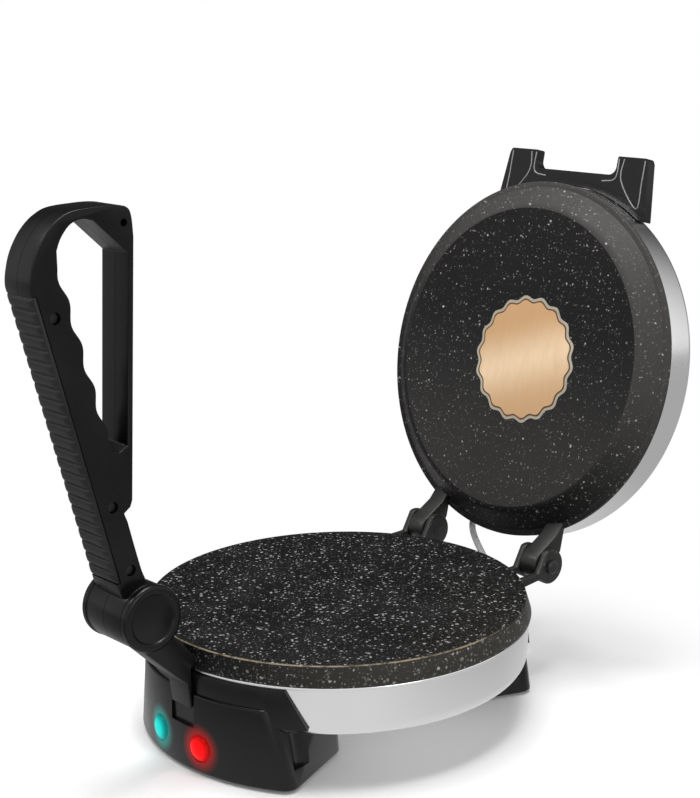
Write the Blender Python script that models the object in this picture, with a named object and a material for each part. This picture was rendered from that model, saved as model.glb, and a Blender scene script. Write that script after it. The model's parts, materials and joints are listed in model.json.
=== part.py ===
"""Electric roti maker: a round countertop griddle with a hinged lid and a pressing handle.

Metres, +Z up. The cooking plate's axis is the Z axis, the handle and the lamps face -Y, and the lid
hinge is at +Y. The object stands on z = 0 with its lid open and its handle up.
"""

import math

import bmesh
import bpy
from mathutils import Matrix, Vector

# The disc axis lies this far along Y from the middle of the whole object's length
ORIGIN_Y = -0.009

# Shared clearances and facets
GAP = 0.0003
OVERRUN = 0.004
BIG_SIDES = 64
BARREL_SIDES = 32
SMALL_SIDES = 18
TINY_SIDES = 10
FACET_TURN = math.radians(4.3)

# Cooking plate
COOK_Z = 0.080
PLATE_RIM_R = 0.125
PLATE_TAPER = 0.0032
PLATE_TOP_R = PLATE_RIM_R - PLATE_TAPER
PLATE_SIDE = 0.0127
PLATE_T = 0.0095
PLATE_SKIRT = 0.0045
PLATE_EASE = 0.0008

# Pan under the plate
PAN_STEP = 0.0014
PAN_R = PLATE_RIM_R - PAN_STEP
PAN_DRAFT = 0.001
PAN_LOW_R = PAN_R - PAN_DRAFT
PAN_LIP = 0.0016
PAN_BEAD = 0.0022
PAN_BOTTOM_Z = 0.034
PAN_CORNER = 0.009
PAN_WALL = 0.0011

# Stands under the pan
STAND_TOP_Z = 0.051
STAND_BOTTOM_Z = 0.0015
STAND_FOOT_OUT = 0.0054
STAND_FOOT_R = PAN_R + STAND_FOOT_OUT
STAND_BROW_OUT = 0.0031
STAND_BROW_R = PAN_R + STAND_BROW_OUT
STAND_FOOT_ARC = math.radians(32.5)
STAND_BROW_ARC = math.radians(26.0)
STAND_FOOT_CORNER = 0.008
STAND_BROW_CORNER = 0.006
STAND_FOOT_BACK_X = 0.052
STAND_BROW_BACK_X = 0.047
STAND_DEPTH = 0.085
STAND_BACK_Y = STAND_FOOT_R - STAND_DEPTH
STAND_BACK_ROUND = 0.008
STAND_EDGE = 0.0012
COLLAR_TOP_Z = 0.0643
COLLAR_LOW_Z = 0.040
COLLAR_OUT = 0.0015
COLLAR_TOP_ARC = math.radians(34.0)
COLLAR_LOW_ARC = math.radians(40.0)
COLLAR_STEPS = 15
NOTCH_W = 0.022
NOTCH_Z = 0.029
NOTCH_DEEP = 0.0035
FLUTE_R = 0.010
FLUTE_LOW_Z = 0.013
FLUTE_SHARE = 0.30

# Feet, stand screws, lamps and cord gland
FOOT_R = 0.008
FOOT_H = 0.0035
FOOT_X = 0.050
FOOT_IN = 0.037
FOOT_Y = STAND_FOOT_R - FOOT_IN
STAND_SCREW_X = 0.030
STAND_SCREW_IN = 0.0446
STAND_SCREW_Y = PAN_LOW_R - STAND_SCREW_IN
STAND_SCREW_R = 0.0018
STAND_SCREW_HEAD_R = 0.004
STAND_SCREW_HEAD = 0.0025
STAND_SCREW_UP = 0.006
STAND_FLOOR = 0.008
LAMP_X = 0.0205
LAMP_MID_X = -0.0045
LAMP_Z = 0.0175
LAMP_R = 0.0085
LAMP_RIM = 0.0011
LAMP_DOME = 0.0030
LAMP_STEM_R = 0.0052
LAMP_STEM = 0.004
LAMP_HOLDER_R = 0.0048
LAMP_HOLDER = 0.014
LAMP_SEAT = 0.0016
GLAND_Z = 0.020
GLAND_R = 0.0085
GLAND_NOSE_R = 0.006
GLAND_BORE_R = 0.0034
GLAND_NOSE = 0.013
GLAND_STEM_R = 0.0058
GLAND_STEM = 0.010

# Lid hinge
HINGE_OUT = 0.008
HINGE_Y = PLATE_RIM_R + HINGE_OUT
HINGE_DROP = 0.0005
HINGE_Z = COOK_Z - HINGE_DROP
HINGE_X = 0.054
HINGE_PIN_R = 0.003
HINGE_PIN_HEAD_R = 0.0048
HINGE_PIN_HEAD = 0.002
EAR_R = 0.0118
EAR_T = 0.005
EAR_ROOT = 0.030
EAR_NECK = 0.006
TONGUE_R = 0.0105
TONGUE_T = 0.0135
SIDE_PLAY = 0.0004
LID_OPEN = math.radians(104.0)

# Lid, measured with the lid shut
LID_REST_GAP = 0.0009
LID_IN = 0.0015
LID_LIP_R = PLATE_RIM_R - LID_IN
LID_LEDGE = 0.004
LID_BAND_R = LID_LIP_R - LID_LEDGE
LID_CONE = 0.0131
LID_FLAT_R = LID_BAND_R - LID_CONE
LID_BAND_H = 0.0100
LID_LIP = 0.0032
LID_CAST_T = 0.0065
LID_LIP_W = 0.0055
SHELL_IN = 0.0002
SHELL_R = LID_LIP_R - SHELL_IN
SHELL_H = 0.0244
SHELL_CORNER = 0.006
SHELL_WALL = 0.0011
SHELL_SHOULDER = 0.0273
SHELL_STEP_R = SHELL_R - SHELL_SHOULDER
SHELL_STEP = 0.0012

# Seal on the lid's cooking face
SEAL_R = 0.044
SEAL_SCALLOP = 0.0022
SEAL_LOBES = 18
SEAL_LOBE_STEPS = 4
SEAL_T = 0.0003
SEAL_X = 0.010

# Bracket on the lid's front
BRACKET_T = 0.008
BRACKET_PROUD = 0.0009
BRACKET_SKIRT_T = 0.0035
BRACKET_REACH = 0.0107
BRACKET_WEB_Y = SHELL_R + BRACKET_REACH
PRONG_LEN = 0.013
PRONG_Y = BRACKET_WEB_Y + PRONG_LEN
PRONG_IN_X = 0.0362
PRONG_OUT_X = 0.0620
BRACKET_SIDE_X = 0.0668
BRACKET_NOTCH_R = 0.006
BRACKET_EDGE = 0.0009
BRACKET_SCREW_DEG = 21.0
BRACKET_SCREW_R = 0.0018
BRACKET_SCREW_HEAD_R = 0.0030
BRACKET_SCREW_UP = 0.0040
BRACKET_SCREW_HEAD = 0.002
BRACKET_SCREW_IN = 0.0026

# Heaters, the same in the pan and in the lid
HEATER_IN = 0.0438
HEATER_R = PLATE_TOP_R - HEATER_IN
HEATER_TUBE_R = 0.004
HEATER_OPEN = math.radians(26.0)
HEATER_TAIL = 0.009
HEATER_STEPS = 30
CLAMP_OVER = 0.014
CLAMP_R = HEATER_R + CLAMP_OVER
CLAMP_T = 0.0015
CLAMP_RIB_R = 0.060
CLAMP_RIB = 0.002
CLAMP_HOLE_R = 0.012
BOLT_R = 0.003
BOLT_TIP = 0.009
NUT_R = 0.0055
NUT_H = 0.004
THERMOSTAT_X = 0.034
THERMOSTAT_R = 0.012
THERMOSTAT_H = 0.009
BLOCK_X = 0.040
BLOCK_Y = 0.018
BLOCK_Z = 0.015
BLOCK_AT_Y = 0.058
BLOCK_WELL_R = 0.003
BLOCK_WELL_PITCH = 0.012
BLOCK_WELL = 0.006

# Lead between lid and pan
LEAD_R = 0.0023
LEAD_LID_X = -0.030
LEAD_PAN_X = 0.014
LEAD_PAN_Z = 0.0583
LEAD_LID_UP = 0.009
LEAD_SAG = 0.016
LEAD_STEPS = 14
GROMMET_R = 0.0055
GROMMET_T = 0.0022
GROMMET_NECK_R = 0.0042
GROMMET_IN = 0.003
GROMMET_ROOM = 0.001

# Pressing handle and its arm
ARM_REACH = 0.035
PIVOT_Y = -PLATE_RIM_R - ARM_REACH
PIVOT_Z = 0.111
ARM_T = 0.019
EYE_R = 0.0135
EYE_PLAY = 0.0012
SLOT_OVER = 0.011
BUSH_R = 0.0065
BUSH_WALL = 0.0022
HANDLE_T = 0.026
BARREL_R = 0.0198
BARREL_HALF = 0.0170
CAP_R = 0.0202
CAP_T = 0.0052
CAP_EDGE = 0.0016
CAP_DISH_R = 0.0140
CAP_DISH = 0.0011
PIVOT_HEAD_R = 0.007
PIVOT_HEAD = 0.0035
PIVOT_HEAD_AT = 0.0130
HANDLE_REACH = 0.062
HANDLE_RISE = 0.236
SEAM = 0.0003
SHELL_SOFT = 0.0014
BAR_T = 0.0034
WAVE = 0.0015
WAVES = 4
WAVE_STEPS = 6
PAD_DEEP = 0.0024
PAD_END = 0.0032
RIB_UP = 0.0009
RIB_DOWN = 0.0004
RIBS = 23
HANDLE_SCREW_R = 0.0015
HANDLE_SCREW_HEAD_R = 0.0031
HANDLE_SCREW_HEAD = 0.002
HANDLE_SCREW_SINK = 0.0024
HANDLE_SCREW_LEN = 0.018
HANG_HOLE_R = 0.0022

# Places on the handle, as shares of its reach towards -Y and of its rise over the pivot
NECK_SHARES = [(-0.060, 0.055), (-0.036, 0.091), (0.003, 0.119), (0.058, 0.174), (0.129, 0.250)]
STEP_SHARES = [(0.161, 0.271), (0.090, 0.2835), (0.064, 0.300)]
BAR_TOP_SHARES = [(-0.092, 0.930), (-0.080, 0.978), (-0.040, 1.000), (0.070, 1.008), (0.258, 1.010)]
CROWN_SHARES = [(0.529, 1.007), (0.677, 0.992), (0.782, 0.971), (0.871, 0.943), (0.948, 0.905), (0.990, 0.862)]
GRIP_HIGH_SHARE = (0.994, 0.838)
GRIP_LOW_SHARE = (0.270, 0.085)
HEEL_SHARES = [(0.200, 0.040), (0.060, 0.040)]
LOOP_LOW_SHARE = (0.290, 0.458)
LOOP_HIGH_SHARE = (0.708, 0.880)
LOOP_CROWN_SHARES = [(0.706, 0.922), (0.655, 0.950), (0.556, 0.977), (0.435, 0.986), (0.323, 0.979)]
LOOP_GUSSET_SHARE = 0.893
LOOP_FOOT_SHARE = 0.436
LOOP_HEEL_SHARES = [(0.180, 0.424), (0.240, 0.430)]
HANDLE_SCREW_SHARES = {"top": (0.765, 0.769), "middle": (0.280, 0.293), "bottom": (0.124, 0.125)}
HANG_HOLE_SHARE = (0.008, 0.966)

# Arm's outline between its eye and the plate, as shares of the way from pivot to rim
ARM_UPPER_SHARES = [(0.57, 0.53), (1.03, 1.16)]
ARM_LOWER_SHARES = [(0.03, 0.80), (0.870, 1.70), (0.925, 2.25)]
ARM_ROOT_SHARES = [(0.974, 2.25), (0.974, 1.395)]


def clear_scene():
    for thing in list(bpy.data.objects):
        bpy.data.objects.remove(thing, do_unlink=True)


def finish(name, colour, roughness, metallic=0.0):
    """A Principled material of one colour."""
    material = bpy.data.materials.new(name)
    material.use_nodes = True
    shader = material.node_tree.nodes["Principled BSDF"]
    shader.inputs["Base Color"].default_value = (*colour, 1.0)
    shader.inputs["Roughness"].default_value = roughness
    shader.inputs["Metallic"].default_value = metallic
    material.diffuse_color = (*colour, 1.0)
    return material


def add_mesh(name, bm, material, frame=None):
    """Closes a bmesh into an object whose faces point outwards."""
    bmesh.ops.remove_doubles(bm, verts=bm.verts, dist=GAP * 0.01)
    if frame is not None:
        bmesh.ops.transform(bm, matrix=frame, verts=bm.verts)
    bmesh.ops.recalc_face_normals(bm, faces=bm.faces)
    mesh = bpy.data.meshes.new(name)
    bm.to_mesh(mesh)
    bm.free()
    mesh.shade_smooth()
    mesh.set_sharp_from_angle(angle=math.radians(32.0))
    thing = bpy.data.objects.new(name, mesh)
    bpy.context.scene.collection.objects.link(thing)
    if material is not None:
        mesh.materials.append(material)
    return thing


def turned(name, profile, material=None, frame=None, sides=BIG_SIDES):
    """A turned piece: (radius, height) points round the local Z axis, put in place by frame."""
    bm = bmesh.new()
    points = [bm.verts.new((radius, 0.0, height)) for radius, height in profile]
    edges = []
    for here, there in zip(points, points[1:] + points[:1]):
        if here.co.x > 0.0 or there.co.x > 0.0:
            edges.append(bm.edges.new((here, there)))
    bmesh.ops.spin(
        bm, geom=points + edges, cent=(0, 0, 0), axis=(0, 0, 1), angle=math.tau, steps=sides, use_merge=True
    )
    return add_mesh(name, bm, material, frame)


def prism(name, outline, material=None, axis="X", low=0.0, high=0.0):
    """An outline extruded along X, from (y, z) points, or along Z, from (x, y) points."""
    bm = bmesh.new()
    if axis == "X":
        base = [bm.verts.new((low, a, b)) for a, b in outline]
        step = Vector((high - low, 0.0, 0.0))
    else:
        base = [bm.verts.new((a, b, low)) for a, b in outline]
        step = Vector((0.0, 0.0, high - low))
    face = bm.faces.new(base)
    grown = bmesh.ops.extrude_face_region(bm, geom=[face])
    verts = [item for item in grown["geom"] if isinstance(item, bmesh.types.BMVert)]
    bmesh.ops.translate(bm, vec=step, verts=verts)
    return add_mesh(name, bm, material)


def lofted(name, loops, material=None):
    """A closed skin over loops of equal count, capped at both ends."""
    bm = bmesh.new()
    rings = [[bm.verts.new(point) for point in loop] for loop in loops]
    bm.faces.new(rings[0])
    bm.faces.new(rings[-1])
    for lower, upper in zip(rings, rings[1:]):
        for i in range(len(lower)):
            bm.faces.new((lower[i - 1], lower[i], upper[i], upper[i - 1]))
    bmesh.ops.triangulate(bm, faces=bm.faces)
    return add_mesh(name, bm, material)


def tube(name, path, radius, material, rings=2):
    """A round tube along a path, with filled ends."""
    curve = bpy.data.curves.new(name, "CURVE")
    curve.dimensions = "3D"
    curve.bevel_depth = radius
    curve.bevel_resolution = rings
    curve.use_fill_caps = True
    spline = curve.splines.new("POLY")
    spline.points.add(len(path) - 1)
    for point, place in zip(spline.points, path):
        point.co = (*place, 1.0)
    curve.materials.append(material)
    thing = bpy.data.objects.new(name, curve)
    bpy.context.scene.collection.objects.link(thing)
    return thing


def add_boolean(target, other, operation):
    other.parent = target
    other.hide_render = True
    other.display_type = "WIRE"
    modifier = target.modifiers.new(other.name, "BOOLEAN")
    modifier.operation = operation
    modifier.solver = "EXACT"
    modifier.object = other


def cut(target, *cutters):
    for cutter in cutters:
        add_boolean(target, cutter, "DIFFERENCE")


def fuse(target, *others):
    for other in others:
        add_boolean(target, other, "UNION")


def soften(thing, width, segments=2):
    """Rounds the sharp edges of a piece."""
    modifier = thing.modifiers.new("soft_edges", "BEVEL")
    modifier.width = width
    modifier.segments = segments
    modifier.limit_method = "ANGLE"
    modifier.angle_limit = math.radians(40.0)
    modifier.use_clamp_overlap = True


def along_x(x, y, z, to_left=False):
    """Frame of a turned piece whose axis is along X, or along -X."""
    turn = -math.pi / 2 if to_left else math.pi / 2
    return Matrix.Translation((x, y, z)) @ Matrix.Rotation(turn, 4, "Y")


def outward(point, direction):
    """Frame of a turned piece whose axis points along a direction."""
    turn = Vector(direction).to_track_quat("Z", "Y").to_matrix().to_4x4()
    return Matrix.Translation(point) @ turn


def rod(name, radius, low, high, frame, sides=SMALL_SIDES):
    return stepped(name, [(radius, low, high)], frame, sides)


def stepped(name, steps, frame, sides=SMALL_SIDES):
    """A cutter of (radius, low, high) steps stacked along its axis, its facets turned off the common grid."""
    profile = [(0.0, steps[0][1])]
    for radius, low, high in steps:
        profile += [(radius, low), (radius, high)]
    profile.append((0.0, steps[-1][2]))
    turn = FACET_TURN * sides / SMALL_SIDES
    return turned(name, profile, None, frame @ Matrix.Rotation(turn, 4, "Z"), sides)


def nut_bore(radius):
    """Corner radius of a six-sided bore that clears a round shaft."""
    return (radius + GAP) / math.cos(math.pi / 6)


def tipped(radius, low, high, edge):
    """Profile of a disc whose two rims are eased."""
    return [
        (0.0, low),
        (radius - edge, low),
        (radius, low + edge),
        (radius, high - edge),
        (radius - edge, high),
        (0.0, high),
    ]


def arc(centre, radius, start, end, steps):
    """Points along an arc, both ends included."""
    spread = [start + (end - start) * i / steps for i in range(steps + 1)]
    return [(centre[0] + radius * math.cos(a), centre[1] + radius * math.sin(a)) for a in spread]


def curve_corner(start, corner, end, steps=4):
    """Points of a quadratic curve that rounds a corner, both ends included."""
    points = []
    for i in range(steps + 1):
        t = i / steps
        points.append(
            tuple((1 - t) ** 2 * a + 2 * t * (1 - t) * b + t * t * c for a, b, c in zip(start, corner, end))
        )
    return points


def toward(start, end, distance):
    """The point a distance along the way from start to end."""
    way = Vector(end) - Vector(start)
    return tuple(Vector(start) + way.normalized() * distance)


def round_wall(radius, x, z):
    """Frame on the back of a round wall, its axis straight out of the wall."""
    y = math.sqrt(radius * radius - x * x)
    return outward((x, y, z), (x, y, 0.0))


# Pan


def pan_lead_frame():
    return round_wall(PAN_R, LEAD_PAN_X, LEAD_PAN_Z)


def pan_profile(shrink=0.0, top=None):
    """Outer line of the pan, from the centre of its bottom to its lip, moved in by shrink."""
    bottom = PAN_BOTTOM_Z + shrink
    lip = COOK_Z - PLATE_SIDE - GAP if top is None else top
    corner = arc(
        (PAN_LOW_R - PAN_CORNER, PAN_BOTTOM_Z + PAN_CORNER), PAN_CORNER - shrink, -math.pi / 2, 0.0, 4
    )
    return [(0.0, bottom)] + corner + [(PAN_R - shrink, lip - PAN_BEAD), (PAN_R - shrink, lip)]


def build_pan(chrome):
    outer = pan_profile()
    inner = pan_profile(PAN_WALL)
    lip_z = outer[-1][1]
    # A rolled bead runs round the lip, under the plate's skirt.
    bead = [(PAN_R + PAN_LIP * 0.6, lip_z - PAN_BEAD / 2), (PAN_R + PAN_LIP * 0.3, lip_z - PAN_BEAD * 0.1)]
    pan = turned("pan", outer[:-1] + bead + [(PAN_R, lip_z)] + inner[::-1], chrome)
    for side in (-1, 1):
        for end in (-1, 1):
            place = Matrix.Translation((side * STAND_SCREW_X, end * STAND_SCREW_Y, PAN_BOTTOM_Z))
            cut(pan, rod(f"pan_hole_{side}_{end}", STAND_SCREW_R + GAP, -OVERRUN, OVERRUN, place, TINY_SIDES))
    cut(pan, rod("pan_lead_hole", GROMMET_NECK_R + GAP, -OVERRUN, OVERRUN, pan_lead_frame(), TINY_SIDES))
    return pan


# Stands


def stand_outline(radius, arc_half, corner, back_x, z, inset=0.0):
    """Outline of a stand at one height: a curved front, drawn-in flanks and a straight back."""
    radius = radius - inset
    arc_half = arc_half - inset / radius
    front = arc((0.0, 0.0), radius, -math.pi / 2 - arc_half, -math.pi / 2 + arc_half, 12)
    last = front[-1]
    knee = (last[0] + math.cos(arc_half) * corner, last[1] + math.sin(arc_half) * corner)
    heel = (back_x - inset, -STAND_BACK_Y - inset)
    flank = curve_corner(last, knee, toward(knee, heel, corner))[1:]
    back = curve_corner(toward(heel, knee, STAND_BACK_ROUND), heel, (heel[0] - STAND_BACK_ROUND, heel[1]))
    right = flank + back
    left = [(-x, y) for x, y in right[::-1]]
    return [(x, y, z) for x, y in front + right + left]


def stand_loops():
    """Loops of a stand from its underside to its brow, both edges eased."""
    ease = STAND_EDGE * 0.3
    loops = []
    for z, inset in (
        (STAND_BOTTOM_Z, STAND_EDGE),
        (STAND_BOTTOM_Z + ease, ease),
        (STAND_BOTTOM_Z + STAND_EDGE, 0.0),
        (STAND_TOP_Z - STAND_EDGE, 0.0),
        (STAND_TOP_Z - ease, ease),
        (STAND_TOP_Z, STAND_EDGE),
    ):
        share = (z - STAND_BOTTOM_Z) / (STAND_TOP_Z - STAND_BOTTOM_Z)
        foot = (STAND_FOOT_R, STAND_FOOT_ARC, STAND_FOOT_CORNER, STAND_FOOT_BACK_X)
        brow = (STAND_BROW_R, STAND_BROW_ARC, STAND_BROW_CORNER, STAND_BROW_BACK_X)
        sizes = [a + (b - a) * share for a, b in zip(foot, brow)]
        loops.append(stand_outline(*sizes, z, inset))
    return loops


def collar_loops():
    """Loops of the thin wall that hugs the pan above and beside the leg, widest at its foot."""
    ease = STAND_EDGE / 2
    low_y = -math.pi / 2
    loops = []
    for z, half, inset in (
        (COLLAR_LOW_Z, COLLAR_LOW_ARC, 0.0),
        (COLLAR_TOP_Z - ease, COLLAR_TOP_ARC, 0.0),
        (COLLAR_TOP_Z, COLLAR_TOP_ARC, ease),
    ):
        front = arc((0.0, 0.0), PAN_R + COLLAR_OUT - inset, low_y - half, low_y + half, COLLAR_STEPS)
        back = arc((0.0, 0.0), PAN_LOW_R - OVERRUN, low_y + half, low_y - half, COLLAR_STEPS)
        loops.append([(x, y, z) for x, y in front + back])
    return loops


def stand_radius(z):
    """Radius of the stand's front wall at a height."""
    share = (z - STAND_BOTTOM_Z) / (STAND_TOP_Z - STAND_BOTTOM_Z)
    return STAND_FOOT_R + (STAND_BROW_R - STAND_FOOT_R) * share


def stand_body(name, plastic):
    """The solid leg that both stands share, standing under the front of the pan."""
    body = lofted(name, stand_loops(), plastic)
    for side in (-1, 1):
        flute_x = STAND_FOOT_BACK_X + (STAND_FOOT_R * math.sin(STAND_FOOT_ARC) - STAND_FOOT_BACK_X) * (1 - FLUTE_SHARE)
        knee_y = STAND_FOOT_R * math.cos(STAND_FOOT_ARC)
        flute_y = STAND_BACK_Y + (knee_y - STAND_BACK_Y) * (1 - FLUTE_SHARE)
        lean = math.atan2(STAND_FOOT_BACK_X - STAND_BROW_BACK_X, STAND_TOP_Z)
        place = Matrix.Translation((side * (flute_x + FLUTE_R), -flute_y, FLUTE_LOW_Z))
        place = place @ Matrix.Rotation(-side * lean * 2, 4, "Y")
        cut(body, rod(f"{name}_flute_{side}", FLUTE_R, 0.0, STAND_TOP_Z, place))
    fuse(body, lofted(f"{name}_collar", collar_loops()))
    seat = [(r + GAP, z - GAP) if r > 0.0 else (r, z - GAP) for r, z in pan_profile()]
    seat = seat[:-1] + [(PAN_R + GAP, COLLAR_TOP_Z + OVERRUN), (0.0, COLLAR_TOP_Z + OVERRUN)]
    cut(body, turned(f"{name}_pan_seat", seat))
    for side in (-1, 1):
        foot = Matrix.Translation((side * FOOT_X, -FOOT_Y, 0.0))
        cut(body, rod(f"{name}_foot_pocket_{side}", FOOT_R + GAP, -OVERRUN, FOOT_H + GAP, foot))
        screw = Matrix.Translation((side * STAND_SCREW_X, -STAND_SCREW_Y, 0.0))
        shoulder = PAN_BOTTOM_Z - STAND_FLOOR
        well = (STAND_SCREW_HEAD_R + GAP, -OVERRUN, shoulder)
        hole = (STAND_SCREW_R + GAP, shoulder, STAND_TOP_Z)
        cut(body, stepped(f"{name}_screw_well_{side}", [well, hole], screw, TINY_SIDES))
    return body


def wall_frame(x, z):
    """Frame on the stand's front wall, its axis straight out of the wall."""
    radius = stand_radius(z)
    y = -math.sqrt(radius * radius - x * x)
    return outward((x, y, z), (x, y, 0.0))


def build_stands(plastic):
    front = stand_body("front_stand", plastic)
    notch = [
        (-NOTCH_W / 2, -STAND_FOOT_R - OVERRUN),
        (NOTCH_W / 2, -STAND_FOOT_R - OVERRUN),
        (NOTCH_W / 2, -STAND_FOOT_R + NOTCH_DEEP),
        (-NOTCH_W / 2, -STAND_FOOT_R + NOTCH_DEEP),
    ]
    cut(front, prism("arm_notch", notch, axis="Z", low=NOTCH_Z, high=STAND_TOP_Z + OVERRUN))
    for side, word in ((-1, "left"), (1, "right")):
        frame = wall_frame(LAMP_MID_X + side * LAMP_X, LAMP_Z)
        deep = LAMP_SEAT + LAMP_STEM + LAMP_HOLDER + 2 * GAP
        well = (LAMP_STEM_R + GAP, -deep, -LAMP_SEAT)
        seat = (LAMP_R + GAP, -LAMP_SEAT, OVERRUN)
        cut(front, stepped(f"lamp_seat_{word}", [well, seat], frame))
    rear = stand_body("rear_stand", plastic)
    frame = wall_frame(0.0, GLAND_Z)
    well = (GLAND_STEM_R + GAP, -LAMP_SEAT - GLAND_STEM - GAP, -LAMP_SEAT)
    seat = (GLAND_R + GAP, -LAMP_SEAT, OVERRUN)
    cut(rear, stepped("gland_seat", [well, seat], frame))
    # The collar is open round the lead's grommet.
    half = GROMMET_R + GROMMET_ROOM
    slot = [
        (-LEAD_PAN_X - half, -STAND_FOOT_R),
        (-LEAD_PAN_X + half, -STAND_FOOT_R),
        (-LEAD_PAN_X + half, -PAN_R + OVERRUN),
        (-LEAD_PAN_X - half, -PAN_R + OVERRUN),
    ]
    cut(rear, prism("lead_slot", slot, axis="Z", low=LEAD_PAN_Z - half, high=COLLAR_TOP_Z + OVERRUN))
    rear.rotation_euler.z = math.pi
    return front, rear


def build_feet(rubber):
    for end, word in ((-1, "front"), (1, "rear")):
        for side, hand in ((-1, "left"), (1, "right")):
            place = Matrix.Translation((side * FOOT_X, end * FOOT_Y, 0.0))
            turned(f"foot_{word}_{hand}", tipped(FOOT_R, 0.0, FOOT_H, STAND_BOTTOM_Z / 3), rubber, place, SMALL_SIDES)


def build_stand_screws(steel):
    shoulder = PAN_BOTTOM_Z - STAND_FLOOR
    top = PAN_BOTTOM_Z + STAND_SCREW_UP
    profile = [
        (0.0, shoulder - GAP - STAND_SCREW_HEAD),
        (STAND_SCREW_HEAD_R, shoulder - GAP - STAND_SCREW_HEAD),
        (STAND_SCREW_HEAD_R, shoulder - GAP),
        (STAND_SCREW_R, shoulder - GAP),
        (STAND_SCREW_R, top - STAND_SCREW_R),
        (0.0, top),
    ]
    for end, word in ((-1, "front"), (1, "rear")):
        for side, hand in ((-1, "left"), (1, "right")):
            place = Matrix.Translation((side * STAND_SCREW_X, end * STAND_SCREW_Y, 0.0))
            turned(f"stand_screw_{word}_{hand}", profile, steel, place, TINY_SIDES)


def build_lamps(green, red, holder):
    """Two indicator lamps: a domed lens seated in the wall, and its holder behind it."""
    back = -LAMP_SEAT + GAP
    rim = back + LAMP_RIM
    dome = arc((0.0, rim), 1.0, 0.0, math.pi / 2, 3)
    dome = [(LAMP_R * 0.93 * x, rim + LAMP_DOME * (z - rim)) for x, z in dome[:-1]] + [(0.0, rim + LAMP_DOME)]
    stem = [(0.0, back - LAMP_STEM), (LAMP_STEM_R, back - LAMP_STEM), (LAMP_STEM_R, back), (LAMP_R, back), (LAMP_R, rim)]
    for side, word, material in ((-1, "left", green), (1, "right", red)):
        frame = wall_frame(LAMP_MID_X + side * LAMP_X, LAMP_Z)
        turned(f"lamp_lens_{word}", stem + dome, material, frame, SMALL_SIDES)
        top = back - LAMP_STEM - GAP
        body = tipped(LAMP_HOLDER_R, top - LAMP_HOLDER, top, LAMP_RIM)
        turned(f"lamp_holder_{word}", body, holder, frame, TINY_SIDES)


def build_gland(rubber):
    """Open cord gland on the rear stand's back wall."""
    back = -LAMP_SEAT + GAP
    rim = back + LAMP_SEAT
    nose = rim + GLAND_NOSE
    profile = [
        (GLAND_BORE_R, back - GLAND_STEM),
        (GLAND_STEM_R, back - GLAND_STEM),
        (GLAND_STEM_R, back),
        (GLAND_R, back),
        (GLAND_R, rim),
        (GLAND_NOSE_R + LAMP_RIM, rim + LAMP_RIM),
        (GLAND_NOSE_R, rim + GLAND_NOSE / 2),
        (GLAND_BORE_R + LAMP_RIM, nose),
        (GLAND_BORE_R, nose),
    ]
    frame = Matrix.Rotation(math.pi, 4, "Z") @ wall_frame(0.0, GLAND_Z)
    turned("cord_gland", profile, rubber, frame, SMALL_SIDES)


# Lower plate with its arm and hinge ears


def pivot_arc(radius, start_deg, end_deg, steps=10):
    return arc((PIVOT_Y, PIVOT_Z), radius, math.radians(start_deg), math.radians(end_deg), steps)


def arm_point(share):
    """A place between the pivot and the plate's rim: shares of the way in and of the way down."""
    return (
        PIVOT_Y + share[0] * (-PLATE_RIM_R - PIVOT_Y),
        PIVOT_Z - share[1] * (PIVOT_Z - COOK_Z),
    )


def arm_outline():
    upper = [arm_point(share) for share in ARM_UPPER_SHARES]
    lower = [arm_point(share) for share in ARM_LOWER_SHARES]
    root = [arm_point(share) for share in ARM_ROOT_SHARES]
    inside = [(-PLATE_RIM_R + PLATE_SKIRT * 0.8, root[-1][1]), (-PLATE_RIM_R + PLATE_SKIRT * 0.8, upper[-1][1])]
    return pivot_arc(EYE_R, -30.0, 240.0, 18) + lower + root + inside + upper[::-1]


def hinge_arc(radius, start_deg, end_deg, steps=9):
    return arc((HINGE_Y, HINGE_Z), radius, math.radians(start_deg), math.radians(end_deg), steps)


def build_lower_plate(granite):
    top_in = PLATE_TOP_R - PLATE_EASE
    low = COOK_Z - PLATE_SIDE
    profile = [
        (0.0, COOK_Z - PLATE_T),
        (PLATE_TOP_R - PLATE_SKIRT - PLATE_EASE, COOK_Z - PLATE_T),
        (PLATE_RIM_R - PLATE_SKIRT, low),
        (PLATE_RIM_R - PLATE_EASE, low),
        (PLATE_RIM_R, low + PLATE_EASE),
        (PLATE_TOP_R, COOK_Z - PLATE_EASE),
        (top_in, COOK_Z),
        (0.0, COOK_Z),
    ]
    plate = turned("lower_plate", profile, granite)
    arm = prism("plate_arm", arm_outline(), axis="X", low=-ARM_T / 2, high=ARM_T / 2)
    soften(arm, PLATE_EASE, 1)
    fuse(plate, arm)
    eye = rod("arm_eye", BUSH_R + GAP, -ARM_T, ARM_T, along_x(0.0, PIVOT_Y, PIVOT_Z))
    cut(plate, eye)
    root_y = HINGE_Y - EAR_ROOT
    ear_top = COOK_Z - PLATE_EASE * 3
    ear = hinge_arc(EAR_R, 110.0, -110.0) + [
        (HINGE_Y - EAR_R, HINGE_Z - EAR_NECK - PLATE_EASE),
        (root_y, COOK_Z - PLATE_T + PLATE_EASE),
        (root_y, ear_top),
        (HINGE_Y - EAR_R, ear_top),
    ]
    for side, hand in ((-1, "left"), (1, "right")):
        for wing, word in ((-1, "inner"), (1, "outer")):
            near = side * (HINGE_X + wing * (TONGUE_T / 2 + SIDE_PLAY))
            far = side * (HINGE_X + wing * (TONGUE_T / 2 + SIDE_PLAY + EAR_T))
            low_x, high_x = sorted((near, far))
            fuse(plate, prism(f"ear_{hand}_{word}", ear, axis="X", low=low_x, high=high_x))
        place = along_x(side * HINGE_X, HINGE_Y, HINGE_Z)
        cut(plate, rod(f"ear_bore_{hand}", HINGE_PIN_R + GAP, -EAR_ROOT / 2, EAR_ROOT / 2, place))
    return plate


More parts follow.
